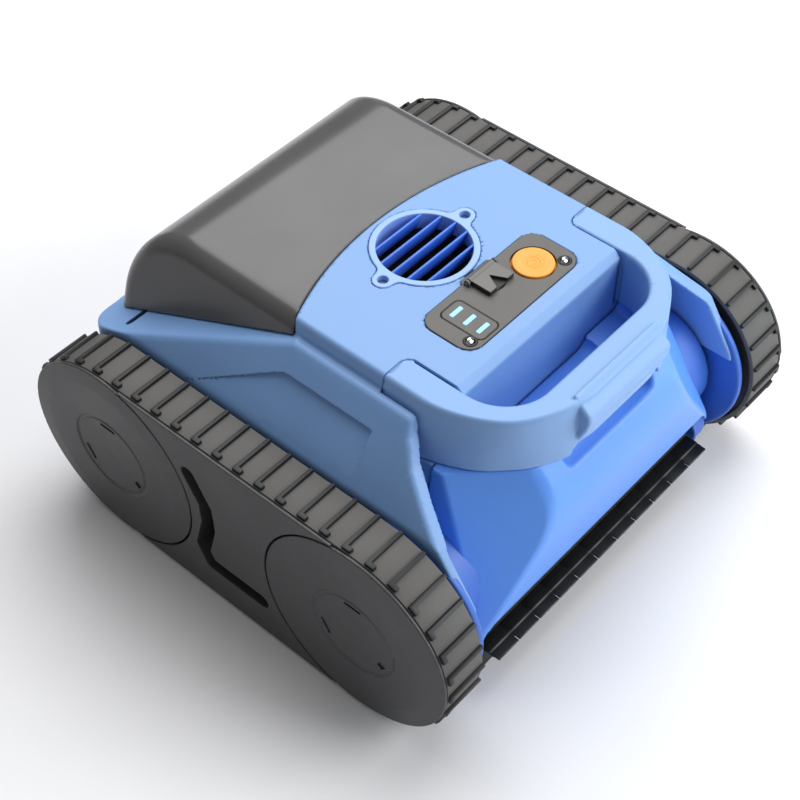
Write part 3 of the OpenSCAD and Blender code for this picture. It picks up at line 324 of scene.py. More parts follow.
# ---- handle ---------------------------------------------------------------------------------
# U-shaped grip of lighter blue ABS round the hand slot, clipped down onto the shell and cowl.
def handle_field(x, y, z):
    w = abs(x)
    outer = tower(x, y, z, 3.0)
    ledge = meet((9.5 * (z - 222.5) - 8 * (y + 177.5)) / 12.4,
                 (-7.5 * (z - 206) - 18 * (y + 185)) / 19.5, -y - 185.5, w - 46, r=3)
    outer = join(outer, np.maximum(ledge, y + 170), r=0.6)
    zone = handle_zone(x, y, -0.25)
    grip = meet(w - slot_half, -(y - slot_front), r=37)
    body = meet(np.maximum(outer, zone), -np.maximum(grip, y - slot_rear - 40), r=2.6)
    body = meet(body, 178 - z, r=1.6)
    fingers = oblong(x, z - 174, 49, 14, 9)
    body = meet(body, -np.maximum(fingers, y - slot_rear), r=1.6)
    hollow = meet(outer + 4, zone + 3, z - 222, 90.5 - w, -(y + 128))
    return np.maximum(body, -np.maximum(hollow, 90.5 - w))


# A shade paler than the deck, and as satin.
blue_handle = moulded("light blue ABS, satin moulded grip", "#82A9DC", rough=0.46)
handle = carve("handle_grip", (-126, -192, 174), (126, -62, 229), 1.25,
               handle_field, adapt=0.02)
finish(handle, blue_handle, "hull", "shell_light", "handle")


# ---- front cowl -----------------------------------------------------------------------------
# Rolled nose over the brush, in the same blue, with slanted corner faces that reach down beside
# the brush. Its top is the floor of the hand slot.
def cowl_corner(w, y, z):
    """Slanted corner face of the cowl."""
    return ((w - y) * 0.7071 + 0.455 * (z - 178) - 170.4) / 1.099


def cowl_outer(x, y, z):
    w = abs(x)
    wall = (w - 110 - side_lean * (deck_z - z)) / 1.014
    slope = -0.824 * y + 0.567 * z - 238.5
    front = -y - 190.5
    under = -0.981 * y - 0.192 * z - 164.3
    nose = meet(slope, front, under, r=15)
    block = meet(meet(nose, cowl_corner(w, y, z), r=4), wall, z - 177.8, r=1.5)
    hand = meet(w - 88, -(y + 156), 163 + 0.25 * np.maximum(y + 150, 0) - z, r=5)
    hand = np.maximum(hand, 0.7071 * (w - y) - 165)
    fingers = meet(w - 50, 163 - z, r=8)
    return meet(block, -np.minimum(hand, fingers), r=2.5)


def cowl_field(x, y, z):
    w = abs(x)
    outer = cowl_outer(x, y, z)
    shell = np.maximum(outer, -(outer + wall_mm))
    lower = np.maximum(71 - 0.055 * np.maximum(w - 120, 0) ** 2, 44)
    shell = meet(shell, (lower - z) * 0.8, r=1.2)
    return np.maximum(shell, y - np.where(z > 150, slot_rear - 0.4, -121.0))


# The smoothest and deepest blue, so its slopes shine a little.
blue_cowl = moulded("deep blue ABS, satin moulded cowl", "#5E99F2", rough=0.36)
cowl = carve("front_cowl", (-148, -196, 28), (148, -108, 182), 1.4, cowl_field,
             adapt=0.02)
finish(cowl, blue_cowl, "hull", "shell_mid", "front_cowl")


# ---- tub ------------------------------------------------------------------------------------
# Lower shell of dark blue ABS, its colour darkened further as painted shade: floor with the
# suction mouth, walls that carry the axle bushes, round cheeks beside the front of each belt and
# the half-round tunnel of the brush.
brush_at = (-155.0, 35.766)
axle_y, axle_z = 118.0, 83.0


def tub_field(x, y, z):
    w = abs(x)
    plan = oblong(x, y + 3, 158, 187, 24)
    box = meet(plan, z - 112, 16 - z, r=2.5)
    box = np.maximum(box, np.where(y < -119, w - 106 - side_lean * (deck_z - z), -9.0))
    tub = np.maximum(box, -np.maximum(plan + 3, 19 - z))
    spin = np.hypot(y + axle_y, z - axle_z)
    ring = np.hypot(y - brush_at[0], z - brush_at[1])
    cheek = meet(spin - 74, abs(w - 155) - 3, r=2)
    gearbox = join(spin - 50.5, ring - 18.5, r=16)
    gearbox = meet(gearbox, w - 147.5, 118 - w, y + 60, r=1.5)
    gearbox = np.maximum(gearbox, -meet(join(spin - 48.6, ring - 16.6, r=16), w - 145.3))
    tub = np.minimum(tub, np.maximum(np.minimum(cheek, gearbox), 17 - z))
    web = oblong(y + 138, z - 56, 18, 30, 4)
    inside = cowl_corner(w, y, z) + 3.4
    end = meet(w - 134, 131 - w, np.minimum(ring - 20, web), 17 - z, inside, r=1)
    tub = np.minimum(tub, end)
    tunnel = np.maximum(np.maximum(ring - 39.5, 16 - z), w - 131)
    tunnel = np.maximum(np.maximum(tunnel, inside), -y - 183)
    tub = np.minimum(tub, np.maximum(tunnel, -(z - 8)))
    room = np.minimum(ring - 36.5, np.maximum(y + 143, z - 60))
    tub = np.maximum(tub, -np.maximum(room, w - 131))
    open_front = np.maximum(np.maximum(y + 158, 60 - z), w - 118)
    tub = np.maximum(tub, -open_front)
    fins = np.maximum(np.maximum(y + 146, w - 150), np.maximum(21 - ring, 52 - spin))
    fins = np.maximum(fins, 117 - w)
    tub = np.maximum(tub, -fins)
    for end_y in (-axle_y, axle_y):
        axle = np.hypot(y - end_y, z - axle_z) - 13
        tub = np.maximum(tub, -np.maximum(axle, 150 - w))
    shaft = np.maximum(ring - 8, abs(w - 132) - 6)
    tub = np.maximum(tub, -shaft)
    mouth = np.maximum(oblong(x, y - 84, 50, 22, 3), z - 30)
    tub = np.maximum(tub, -mouth)
    for px, py in ((148, -30), (148, 40), (140, 160)):
        post = np.hypot(w - px, y - py)
        tub = np.minimum(tub, np.maximum(post - 6, abs(z - 64) - 47))
        tub = np.maximum(tub, -np.maximum(post - 4, z - 90))
        tub = np.maximum(tub, -(post - 2.2))
    ribs = meet(abs(((x + 16) % 32) - 16) - 1, abs(z - 16) - 1.2, abs(y - 20) - 34)
    return np.minimum(tub, np.maximum(ribs, plan + 8))


# Darker blue, made darker still as painted shade for where it sits back in the gaps beside the
# brush.
blue_tub = moulded("dark blue ABS, satin moulded tub", "#3769C4", rough=0.42)
tub = carve("lower_tub", (-161, -199, 12), (161, 187, 165), 1.9, tub_field, adapt=0.03)
finish(tub, blue_tub, "hull", "shell_dark", "base_shell")


# ---- clear lid ------------------------------------------------------------------------------
# Smoke-tinted polycarbonate dome over the filter bay, polished, hinged on a pin at the rear.
pin_at = (189.0, 144.0)


def lid_field(x, y, z):
    outer = lid_outer(x, y, z)
    shell = np.maximum(outer, -(outer + 3))
    cut = lid_space(x, y, z) + 0.55
    shell = meet(shell, cut, r=0.9)
    w = abs(x)
    pin = np.hypot(y - pin_at[0], z - pin_at[1])
    lug = meet(abs(w - 58) - 14.5, pin - 5, r=0.8)
    web = meet(abs(w - 58) - 14.5, abs(y - 182.5) - 9, abs(z - 151.6) - 3.6, r=0.8)
    strap = meet(abs(w - 58) - 14.5, abs(y - 177) - 4, abs(z - 158) - 10, r=0.8)
    hinge = np.minimum(np.minimum(lug, web), np.maximum(strap, outer - 0.5))
    hinge = np.maximum(hinge, 2.55 - pin)
    return np.minimum(shell, hinge)


def smoke_plastic(name):
    """Tinted clear plastic: a see-through part mixed with a glossy dark film."""
    material = bpy.data.materials.new(name)
    material.use_nodes = True
    tree = material.node_tree
    shader = tree.nodes["Principled BSDF"]
    place = add(tree, "ShaderNodeTexCoord").outputs["Object"]
    haze = add(tree, "ShaderNodeTexNoise", {"Vector": place, "Scale": 14.0, "Detail": 2.0})
    tone = add(tree, "ShaderNodeMix",
               {0: haze.outputs["Fac"], 6: linear("#4E4D4D"), 7: linear("#646466")},
               data_type="RGBA")
    tree.links.new(tone.outputs[2], shader.inputs["Base Color"])
    shader.inputs["Roughness"].default_value = 0.22
    shader.inputs["IOR"].default_value = 1.5
    shader.inputs["Alpha"].default_value = 0.88
    return material


# Dark smoky surface, faintly cloudy, with a sharper highlight than the shells.
smoke = smoke_plastic("smoke polycarbonate, polished")
lid = carve("clear_lid", (-140, 2, 134), (140, 198, 229), 1.4, lid_field, adapt=0.02)
finish(lid, smoke, "lid", "lid_smoke", "lid")


# ---- belts ----------------------------------------------------------------------------------
# Grey rubber bands with near-black tread lugs vulcanised on; each lug has a short foot at its
# outer end. They run round a front and a rear wheel on each side.
belt_r = 80.4
run_len = 4 * axle_y + 2 * math.pi * belt_r
lug_count = 50


def run_point(s):
    """Place (y, z) and outward direction at s mm along the belt's outer face."""
    s = s % run_len
    half_turn = math.pi * belt_r
    if s < axle_y:
        return s, axle_z - belt_r, 0, -1
    if s < axle_y + half_turn:
        a = (s - axle_y) / belt_r
        return (axle_y + belt_r * math.sin(a), axle_z - belt_r * math.cos(a),
                math.sin(a), -math.cos(a))
    if s < 3 * axle_y + half_turn:
        return 2 * axle_y + half_turn - s, axle_z + belt_r, 0, 1
    if s < 3 * axle_y + 2 * half_turn:
        a = (s - 3 * axle_y - half_turn) / belt_r
        return (-axle_y - belt_r * math.sin(a), axle_z + belt_r * math.cos(a),
                -math.sin(a), math.cos(a))
    return s - run_len, axle_z - belt_r, 0, -1


def belt_band(name, side):
    section = [(162, -3.4), (162.6, -4), (176.5, -4), (177, -7.5), (183, -7.5), (183.5, -4),
               (197.4, -4), (198, -3.4), (198, -0.7), (197.7, -0.2), (197.2, 0),
               (162.8, 0), (162.3, -0.2), (162, -0.7)]
    n = 400
    points, faces = [], []
    for i in range(n):
        y, z, ny, nz = run_point(i * run_len / n)
        points += [(side * x / 1000, (y + d * ny) / 1000, (z + d * nz) / 1000) for x, d in section]
    k = len(section)
    for i in range(n):
        for j in range(k):
            face = [i * k + j, i * k + (j + 1) % k,
                    (i + 1) % n * k + (j + 1) % k, (i + 1) % n * k + j]
            faces.append(face if side < 0 else face[::-1])
    band = mesh_of(name, points, faces)
    band.data.set_sharp_from_angle(angle=math.radians(35))
    return band


def socket_id(tree, name):
    return next(i.identifier for i in tree.interface.items_tree if i.name == name)


def repeater():
    """Geometry Nodes: copies a piece at even steps along a path, turned only about X."""
    tree = bpy.data.node_groups.new("repeat along path", "GeometryNodeTree")
    for label, kind in (("Path", "Object"), ("Piece", "Object"), ("Count", "Int"),
                        ("Finish", "Material")):
        tree.interface.new_socket(label, in_out="INPUT", socket_type=f"NodeSocket{kind}")
    tree.interface.new_socket("Geometry", in_out="OUTPUT", socket_type="NodeSocketGeometry")
    given = add(tree, "NodeGroupInput").outputs
    path = add(tree, "GeometryNodeObjectInfo", {"Object": given["Path"]})
    steps = add(tree, "GeometryNodeCurveToPoints",
                {"Curve": path.outputs["Geometry"], "Count": given["Count"]}, mode="COUNT")
    turned = add(tree, "FunctionNodeAlignRotationToVector",
                 {"Vector": steps.outputs["Tangent"]}, axis="Y", pivot_axis="X")
    piece = add(tree, "GeometryNodeObjectInfo", {"Object": given["Piece"], "As Instance": True})
    copies = add(tree, "GeometryNodeInstanceOnPoints",
                 {"Points": steps.outputs["Points"], "Instance": piece.outputs["Geometry"],
                  "Rotation": turned.outputs[0]})
    real = add(tree, "GeometryNodeRealizeInstances", {0: copies.outputs[0]})
    painted = add(tree, "GeometryNodeSetMaterial",
                  {"Geometry": real.outputs[0], "Material": given["Finish"]})
    add(tree, "NodeGroupOutput", {"Geometry": painted.outputs[0]})
    return tree


repeat_tree = repeater()


def repeat(name, path_points, closed, piece, count, material):
    """One mesh of count copies of piece along the path, which is given in metres."""
    curve = bpy.data.curves.new(name + "_path", "CURVE")
    curve.dimensions = "3D"
    line = curve.splines.new("POLY")
    line.points.add(len(path_points) - 1)
    for point, at in zip(line.points, path_points):
        point.co = (*at, 1)
    line.use_cyclic_u = closed
    path = bpy.data.objects.new(name + "_path", curve)
    holder = bpy.data.objects.new(name + "_made", bpy.data.meshes.new(name + "_made"))
    for thing in (path, holder):
        bpy.context.scene.collection.objects.link(thing)
    modifier = holder.modifiers.new("repeat", "NODES")
    modifier.node_group = repeat_tree
    for label, value in (("Path", path), ("Piece", piece), ("Count", count),
                         ("Finish", material)):
        modifier[socket_id(repeat_tree, label)] = value
    bpy.context.view_layer.update()
    solved = holder.evaluated_get(bpy.context.evaluated_depsgraph_get())
    mesh = bpy.data.meshes.new_from_object(solved)
    mesh.name = name
    made = bpy.data.objects.new(name, mesh)
    bpy.context.scene.collection.objects.link(made)
    for thing in (path, holder, piece):
        bpy.data.objects.remove(thing)
    return made


def outline_solid(name, outline, x0, x1, bevel, segments=2):
    """Solid from an outline in (y, z), mm, between x0 and x1, with rounded edges."""
    n = len(outline)
    points = [(x / 1000, y / 1000, z / 1000) for x in (x0, x1) for y, z in outline]
    faces = [list(range(n))[::-1], list(range(n, 2 * n))]
    faces += [[i, (i + 1) % n, n + (i + 1) % n, n + i] for i in range(n)]
    solid = mesh_of(name, points, faces)
    return rounded(solid, bevel, segments)


def rounded(piece, bevel, segments=2, angle=30):
    """Right normals, then a real bevel on every sharp edge, applied."""
    work = bmesh.new()
    work.from_mesh(piece.data)
    bmesh.ops.remove_doubles(work, verts=work.verts, dist=1e-7)
    bmesh.ops.recalc_face_normals(work, faces=work.faces)
    work.to_mesh(piece.data)
    work.free()
    if bevel > 0:
        modifier = piece.modifiers.new("edge", "BEVEL")
        modifier.width = bevel / 1000
        modifier.segments = segments
        modifier.limit_method = "ANGLE"
        modifier.angle_limit = math.radians(angle)
        modifier.use_clamp_overlap = True
        modifier.harden_normals = False
    return applied(piece)


def applied(piece):
    """Bakes the modifiers into the mesh and takes them off."""
    bpy.context.view_layer.update()
    solved = piece.evaluated_get(bpy.context.evaluated_depsgraph_get())
    mesh = bpy.data.meshes.new_from_object(solved)
    piece.modifiers.clear()
    old = piece.data
    piece.data = mesh
    mesh.name = old.name
    bpy.data.meshes.remove(old)
    mesh.polygons.foreach_set("use_smooth", [True] * len(mesh.polygons))
    mesh.set_sharp_from_angle(angle=math.radians(40))
    return piece


# Dull grey rubber; its grain breaks up every highlight.
belt_grey = moulded("grey rubber, matt belt face", "#5A5855", rough=0.62, grain_mm=0.8, bump=0.2)
# Nearly black, so that the lugs stand out from the band.
lug_black = moulded("black rubber, tread lugs", "#141416", rough=0.5, grain_mm=0.8, bump=0.15)
path = []
for i in range(600):
    y, z, ny, nz = run_point(run_len / lug_count / 2 + i * run_len / 600)
    path.append((0.0, y / 1000, z / 1000))
for side, label in ((1, "left"), (-1, "right")):
    finish(belt_band("belt_band_" + label, side), belt_grey, "hull", "belt_rubber",
           "belt_" + label)
    x_in, x_foot, x_out = (side * v for v in (162.5, 193.2, 197.2))
    lug_points = []
    shape = [(x_in, -1.7), (x_in, 1.7), (x_foot, 1.7), (x_foot, 6.2), (x_out, 6.2), (x_out, -1.7)]
    for z in (1.0, -2.6):
        squeeze = 0.0 if z > 0 else 0.25
        lug_points += [(px / 1000, (py - math.copysign(squeeze, py)) / 1000, z / 1000)
                       for px, py in shape]
    lug_faces = [[0, 1, 2, 3, 4, 5], [11, 10, 9, 8, 7, 6]]
    lug_faces += [[i, (i + 1) % 6, 6 + (i + 1) % 6, 6 + i] for i in range(6)]
    lug = rounded(mesh_of("lug", lug_points, lug_faces), 0.55)
    lugs = repeat("tread_lugs_" + label, path, True, lug, lug_count, lug_black)
    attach(lugs, "hull")


# ---- hub discs ------------------------------------------------------------------------------
# Flat grey discs clipped into the wheels: a shallow dish in the middle, a raised ring round it
# and three moulded marks, two slots and a square.
def hub_field(w, y, z):
    r = np.hypot(y, z)
    face = np.interp(r, [0, 22, 33, 34.2, 36, 37.5, 66, 79], [200.0, 200.6, 201.2, 200.5, 200.5,
                                                            201.5, 202.0, 201.0])
    disc = meet(w - face, 198.6 - w, r - 80.6, r=0.7)
    disc = np.minimum(disc, meet(r - 40, abs(w - 198) - 1.5))
    for angle, half_u, half_v in ((90, 1.1, 7), (-30, 1.1, 7), (-150, 2.6, 2.6)):
        c, s = math.cos(math.radians(angle)), math.sin(math.radians(angle))
        mark = oblong(y * c + z * s - 29, z * c - y * s, half_u, half_v, 0.4)
        disc = meet(disc, -np.maximum(mark, 199.4 - w), r=0.3)
    return disc


# Charcoal with a matt grain, nearly even in tone.
cover_grey = moulded("charcoal ABS, fine matt grain", "#3F3F41", rough=0.46, grain_mm=0.4,
                     bump=0.12, tint=0.03)
for side, label in ((1, "left"), (-1, "right")):
    for end, place in ((-1, "front"), (1, "rear")):
        disc = carve(
            f"hub_disc_{place}_{label}", (side * 195.8, end * axle_y - 82, 1),
            (side * 202.7, end * axle_y + 82, 165), 0.8,
            lambda x, y, z: hub_field(x * side, y - end * axle_y, z - axle_z), adapt=0.004)
        finish(disc, cover_grey, f"{place}_{label}", "cover_grey", f"hub_cap_{place}_{label}")


# ---- side covers ----------------------------------------------------------------------------
# Flat plate between the two discs of a track, in the same grey, with a bent slot whose rim
# runs back into the frame.
def stroke(u, v, p, q, radius):
    """Round-ended line from p to q in the plane of u and v."""
    du, dv = q[0] - p[0], q[1] - p[1]
    t = np.clip(((u - p[0]) * du + (v - p[1]) * dv) / (du * du + dv * dv), 0, 1)
    return np.hypot(u - p[0] - t * du, v - p[1] - t * dv) - radius


def cover_field(w, y, z):
    bend = ((34, 128), (20, 103), (19, 82), (27, 52), (20, 38), (-30, 38))
    gap = np.minimum.reduce([stroke(y, z, p, q, 6.5) for p, q in zip(bend, bend[1:])])
    band = meet(abs(z - axle_z) - belt_r, 82.0 - np.hypot(abs(y) - axle_y, z - axle_z),
                abs(y) - 101.9)
    plate = meet(band, w - 201, 198.6 - w, r=0.6)
    rim = meet(gap - 1.6, w - 200, 183 - w)
    return meet(np.minimum(plate, rim), -gap, r=0.5)


for side, label in ((1, "left"), (-1, "right")):
    cover = carve(f"side_plate_{label}", (side * 182, -103, 1), (side * 201.8, 103, 165), 0.9,
                  lambda x, y, z: cover_field(x * side, y, z), adapt=0.004)
    finish(cover, cover_grey, "hull", "cover_grey", f"side_cover_{label}")


# ---- outlet grille --------------------------------------------------------------------------
# Pale blue ring with two screw ears, set flush in the deck, and five deep tilted slats moulded
# across it over the pump outlet.
def grille_field(x, y, z):
    ring = np.hypot(x, y - grille_y)
    ear = np.hypot(abs(x) - 44, y - grille_y)
    plate = meet(grille_plan(x, y), z - 226.5, 224.3 - z, r=0.7)
    tube = np.maximum(np.maximum(ring - 35.4, 212 - z), z - 226.2)
    boss = np.maximum(np.maximum(ear - 5.4, 217 - z), z - 226)
    body = meet(np.minimum(plate, tube), 34.2 - ring, r=0.7)
    body = np.minimum(body, boss)
    body = meet(body, -np.maximum(ear - 4.0, 219.5 - z), r=0.5)
    return np.maximum(body, -(ear - 1.5))


# The palest blue, which picks the ring out of the deck.
blue_grille = moulded("pale blue ABS, satin grille ring", "#93B6EE", rough=0.42)
grille = carve("grille_ring", (-53, -47, 211), (53, 33, 227.5), 0.7, grille_field, adapt=0.004)
finish(grille, blue_grille, "hull", "shell_mid", "outlet_grille")


def slat_maker():
    """Geometry Nodes: slats side by side, each scaled to its chord of a round opening."""
    tree = bpy.data.node_groups.new("slats in a ring", "GeometryNodeTree")
    for label, kind in (("Piece", "Object"), ("Count", "Int"), ("Pitch", "Float"),
                        ("Radius", "Float"), ("Middle", "Vector"), ("Finish", "Material")):
        tree.interface.new_socket(label, in_out="INPUT", socket_type=f"NodeSocket{kind}")
    tree.interface.new_socket("Geometry", in_out="OUTPUT", socket_type="NodeSocketGeometry")
    given = add(tree, "NodeGroupInput").outputs
    last = add(tree, "ShaderNodeMath", {0: given["Count"], 1: 1.0}, operation="SUBTRACT")
    span = add(tree, "ShaderNodeMath", {0: last.outputs[0], 1: given["Pitch"]},
               operation="MULTIPLY")
    half = add(tree, "ShaderNodeMath", {0: span.outputs[0], 1: -0.5}, operation="MULTIPLY")
    start = add(tree, "ShaderNodeCombineXYZ", {"Y": half.outputs[0]})
    step = add(tree, "ShaderNodeCombineXYZ", {"Y": given["Pitch"]})
    row = add(tree, "GeometryNodeMeshLine", {"Count": given["Count"],
                                             "Start Location": start.outputs[0],
                                             "Offset": step.outputs[0]})
    spot = add(tree, "GeometryNodeInputPosition")
    away = add(tree, "ShaderNodeSeparateXYZ", {0: spot.outputs[0]})
    share = add(tree, "ShaderNodeMath", {0: away.outputs["Y"], 1: given["Radius"]},
                operation="DIVIDE")
    square = add(tree, "ShaderNodeMath", {0: share.outputs[0], 1: share.outputs[0]},
                 operation="MULTIPLY")
    rest = add(tree, "ShaderNodeMath", {0: 1.0, 1: square.outputs[0]}, operation="SUBTRACT")
    chord = add(tree, "ShaderNodeMath", {0: rest.outputs[0]}, operation="SQRT")
    scale = add(tree, "ShaderNodeCombineXYZ", {"X": chord.outputs[0], "Y": 1.0, "Z": 1.0})
    piece = add(tree, "GeometryNodeObjectInfo", {"Object": given["Piece"], "As Instance": True})
    copies = add(tree, "GeometryNodeInstanceOnPoints",
                 {"Points": row.outputs[0], "Instance": piece.outputs["Geometry"],
                  "Scale": scale.outputs[0]})
    real = add(tree, "GeometryNodeRealizeInstances", {0: copies.outputs[0]})
    moved = add(tree, "GeometryNodeTransform",
                {"Geometry": real.outputs[0], "Translation": given["Middle"]})
    painted = add(tree, "GeometryNodeSetMaterial",
                  {"Geometry": moved.outputs[0], "Material": given["Finish"]})
    add(tree, "NodeGroupOutput", {"Geometry": painted.outputs[0]})
    return tree


# Strong mid blue that darkens towards the outlet.
blue_slat = moulded("mid blue ABS, satin slats", "#3F74DC", rough=0.38)
slat_tree = slat_maker()
tilt = math.radians(14)
slat_outline = []
for across, down in ((-0.9, 0), (0.9, 0), (1.1, -13.4), (-1.1, -13.4)):
    slat_outline.append((across * math.cos(tilt) - down * math.sin(tilt),
                         across * math.sin(tilt) + down * math.cos(tilt)))
slat = outline_solid("slat", slat_outline, -34.6, 34.6, 0.5)
slat_made = bpy.data.objects.new("slats_made", bpy.data.meshes.new("slats_made"))
bpy.context.scene.collection.objects.link(slat_made)
slat_rule = slat_made.modifiers.new("slats", "NODES")
slat_rule.node_group = slat_tree
for label, value in (("Piece", slat), ("Count", 5), ("Pitch", 0.012), ("Radius", 0.0346),
                     ("Middle", (0, grille_y / 1000, 0.2259)), ("Finish", blue_slat)):
    slat_rule[socket_id(slat_tree, label)] = value
bpy.context.view_layer.update()
slat_mesh = bpy.data.meshes.new_from_object(
    slat_made.evaluated_get(bpy.context.evaluated_depsgraph_get()))
slats = bpy.data.objects.new("grille_slats", slat_mesh)
bpy.context.scene.collection.objects.link(slats)
for thing in (slat, slat_made):
    bpy.data.objects.remove(thing)
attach(slats, "hull")


# ---- control panel --------------------------------------------------------------------------
# Warm grey plate let into the deck, with openings for the button, the charging cap, the LED
# window and its two screws, and two small ears for the cap's pin.
cap_mid, cap_axis = (4.0, -63.5), (-54.0, 228.9)
screw_mid, screw_half, screw_y = 1.5, 51.5, -89.0
window_at = (-35.0, -76.0)


def panel_field(x, y, z):
    plate = meet(panel_plan(x, y), z - 226.6, 224.4 - z, r=0.5)
    ear = np.minimum(np.hypot(y - cap_axis[0], z - cap_axis[1]) - 2.4,
                     np.maximum(abs(y - cap_axis[0]) - 2.4, abs(z - 227.2) - 1.7))
    body = np.minimum(plate, np.maximum(ear, abs(abs(x - cap_mid[0]) - 14.6) - 1))
    ring = np.hypot(x - button_at[0], y - button_at[1])
    body = meet(body, -(ring - 16.4), r=0.4)
    body = np.maximum(body, -(np.hypot(x - socket_at[0], y - socket_at[1]) - 9.5))
    window = oblong(x - window_at[0], y - window_at[1], 11, 19, 5)
    body = meet(body, -np.maximum(window, 225.0 - z), r=0.25)
    seat = np.hypot(abs(x - screw_mid) - screw_half, y - screw_y)
    body = meet(body, -np.maximum(seat - 5.0, 225.1 - z), r=0.3)
    body = np.maximum(body, -(seat - 1.7))
    pin = np.hypot(y - cap_axis[0], z - cap_axis[1]) - 1.05
    return np.maximum(body, -np.maximum(pin, abs(x - cap_mid[0]) - 26))


# Warm matt grey with hardly any highlight.
panel_grey = moulded("warm grey ABS, matt panel", "#605E5B", rough=0.55, grain_mm=0.4, bump=0.1,
                     tint=0.03)
panel = carve("panel_plate", (-60, -98.5, 223.5), (64.5, -46, 232), 0.6, panel_field, adapt=0.004)
finish(panel, panel_grey, "hull", "panel_grey", "control_panel")

# Plain black, for the rings and whatever lies in shade.
inner_black = moulded("black nylon, matt", "#1C1C1E", rough=0.55, grain_mm=0.6, bump=0.12)


def seal_field(x, y, z):
    """Black rings let into the panel: round the LED window and under the two screws."""
    window = oblong(x - window_at[0], y - window_at[1], 10.9, 18.9, 4.9)
    frame_ring = meet(abs(window + 0.45) - 0.45, z - 226.75, 225.0 - z)
    seat = np.hypot(abs(x - screw_mid) - screw_half, y - screw_y)
    cup = meet(seat - 4.9, 3.2 - seat, z - 226.9, 225.1 - z, r=0.3)
    return np.minimum(frame_ring, cup)


seals = carve("panel_seals", (-57, -96.5, 224.4), (59, -56, 227.5), 0.5, seal_field, adapt=0.004)
seals.data.materials.append(inner_black)
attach(seals, "hull")


# ---- LED window and bars --------------------------------------------------------------------
# Flush grey window with three rounded light guides of pale blue acrylic that glow faintly.
def led_row(x, y):
    bars = [oblong(x - window_at[0], y - window_at[1] - step, 6, 1.8, 0.9)
            for step in (-11.5, 0, 11.5)]
    return np.minimum.reduce(bars)


def window_field(x, y, z):
    plate = meet(oblong(x - window_at[0], y - window_at[1], 10.0, 18.0, 4.2), z - 226.7,
                 225.0 - z, r=0.3)
    return meet(plate, -(led_row(x, y) - 0.1), r=0.15)


window = carve("led_window_plate", (-46, -96, 224.5), (-24, -57, 227.2), 0.4, window_field,
               adapt=0.004)
finish(window, panel_grey, "hull", "led_window_plastic", "led_window")
bars = carve("led_guides", (-42, -91, 224.5), (-28, -61, 227.8), 0.35,
             lambda x, y, z: meet(led_row(x, y), z - 227.0, 225.0 - z, r=0.5), adapt=0.004)
# Pale blue with a weak glow of its own.
led_light = moulded("pale blue acrylic, lit from behind", "#8FC4E8", rough=0.25, bump=0.0)
led_shader = led_light.node_tree.nodes["Principled BSDF"]
led_shader.inputs["Emission Color"].default_value = linear("#8FC4E8")
led_shader.inputs["Emission Strength"].default_value = 0.35
finish(bars, led_light, "hull", "led_light", "led_bars")


# ---- power button ---------------------------------------------------------------------------
# Round orange push button, slightly dished, with a fine swirl moulded into its middle. A coil
# spring of steel wire in the well below lifts it.
def button_field(x, y, z):
    u, v = x - button_at[0], y - button_at[1]
    r = np.hypot(u, v)
    top = np.interp(r, [0, 6, 12, 14.2], [226.6, 226.9, 227.5, 227.3])
    swirl = np.cos(r * 2.2 - np.arctan2(v, u)) * np.clip((9 - r) / 3, 0, 1) * np.clip(r - 1, 0, 1)
    cap = meet(r - 15, z - top - 0.22 * swirl, 220.8 - z, r=0.8)
    return np.minimum(cap, meet(r - 17, z - 222.8, 220.8 - z, r=0.3))


button = carve("button_cap", (19, -92, 219.9), (55, -56, 228.6), 0.5, button_field, adapt=0.002)
# Clear warm orange, satin, the one bright spot.
button_orange = moulded("orange ABS, satin button", "#F2A440", rough=0.45, tint=0.04)
finish(button, button_orange, "power_button", "button_orange", "power_button")


def coil(name, at, mean_r, wire_r, low, high, turns, steps=28, sides=8):
    """Closed-end coil of round wire, in mm, with a vertical axis."""
    points, faces, n = [], [], turns * steps
    for i in range(n + 1):
        a = 2 * math.pi * i / steps
        rise = low + wire_r + (high - low - 2 * wire_r) * i / n
        for k in range(sides):
            b = 2 * math.pi * k / sides
            r = mean_r + wire_r * math.cos(b)
            points.append(((at[0] + r * math.cos(a)) / 1000, (at[1] + r * math.sin(a)) / 1000,
                           (rise + wire_r * math.sin(b)) / 1000))
    for i in range(n):
        for k in range(sides):
            j = (k + 1) % sides
            faces.append([i * sides + k, (i + 1) * sides + k, (i + 1) * sides + j, i * sides + j])
    faces += [list(range(sides)), [n * sides + k for k in range(sides)][::-1]]
    return rounded(mesh_of(name, points, faces), 0)


spring = coil("button_coil", button_at, 7, 0.7, 208.8, 220.6, 4)
# Bright drawn wire.
spring_steel = moulded("spring steel wire", "#C2C5C9", rough=0.25, bump=0.03, metallic=1.0)
finish(spring, spring_steel, "hull", "steel", "button_spring")
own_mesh(spring)


# ---- charging cap ---------------------------------------------------------------------------
# Hinged rubbery cap over the charging socket: grey top face, sides painted black as painted
# shade, a finger notch in front and a round plug below.
def charge_field(x, y, z):
    u = x - cap_mid[0]
    lid_top = 230.7
    block = meet(abs(u) - 13, -72.8 - y, y + 55.6, z - lid_top, 226.8 - z, r=0.8)
    knuckle = np.maximum(np.hypot(y - cap_axis[0], z - cap_axis[1]) - 2.3, abs(u) - 13)
    plug = np.maximum(np.hypot(x - socket_at[0], y - socket_at[1]) - 5.7, abs(z - 225.6) - 1.8)
    body = np.minimum(np.minimum(block, knuckle), plug)
    notch = np.maximum((abs(u) * 2 + (y + 61.2)) / 2.236, 228.0 - z)
    body = meet(body, -notch, r=0.3)
    return np.maximum(body, 1.25 - np.hypot(y - cap_axis[0], z - cap_axis[1]))


cap = carve("socket_cap", (-9.8, -74, 223.2), (17.8, -50.8, 231.8), 0.45, charge_field,
            adapt=0.003)
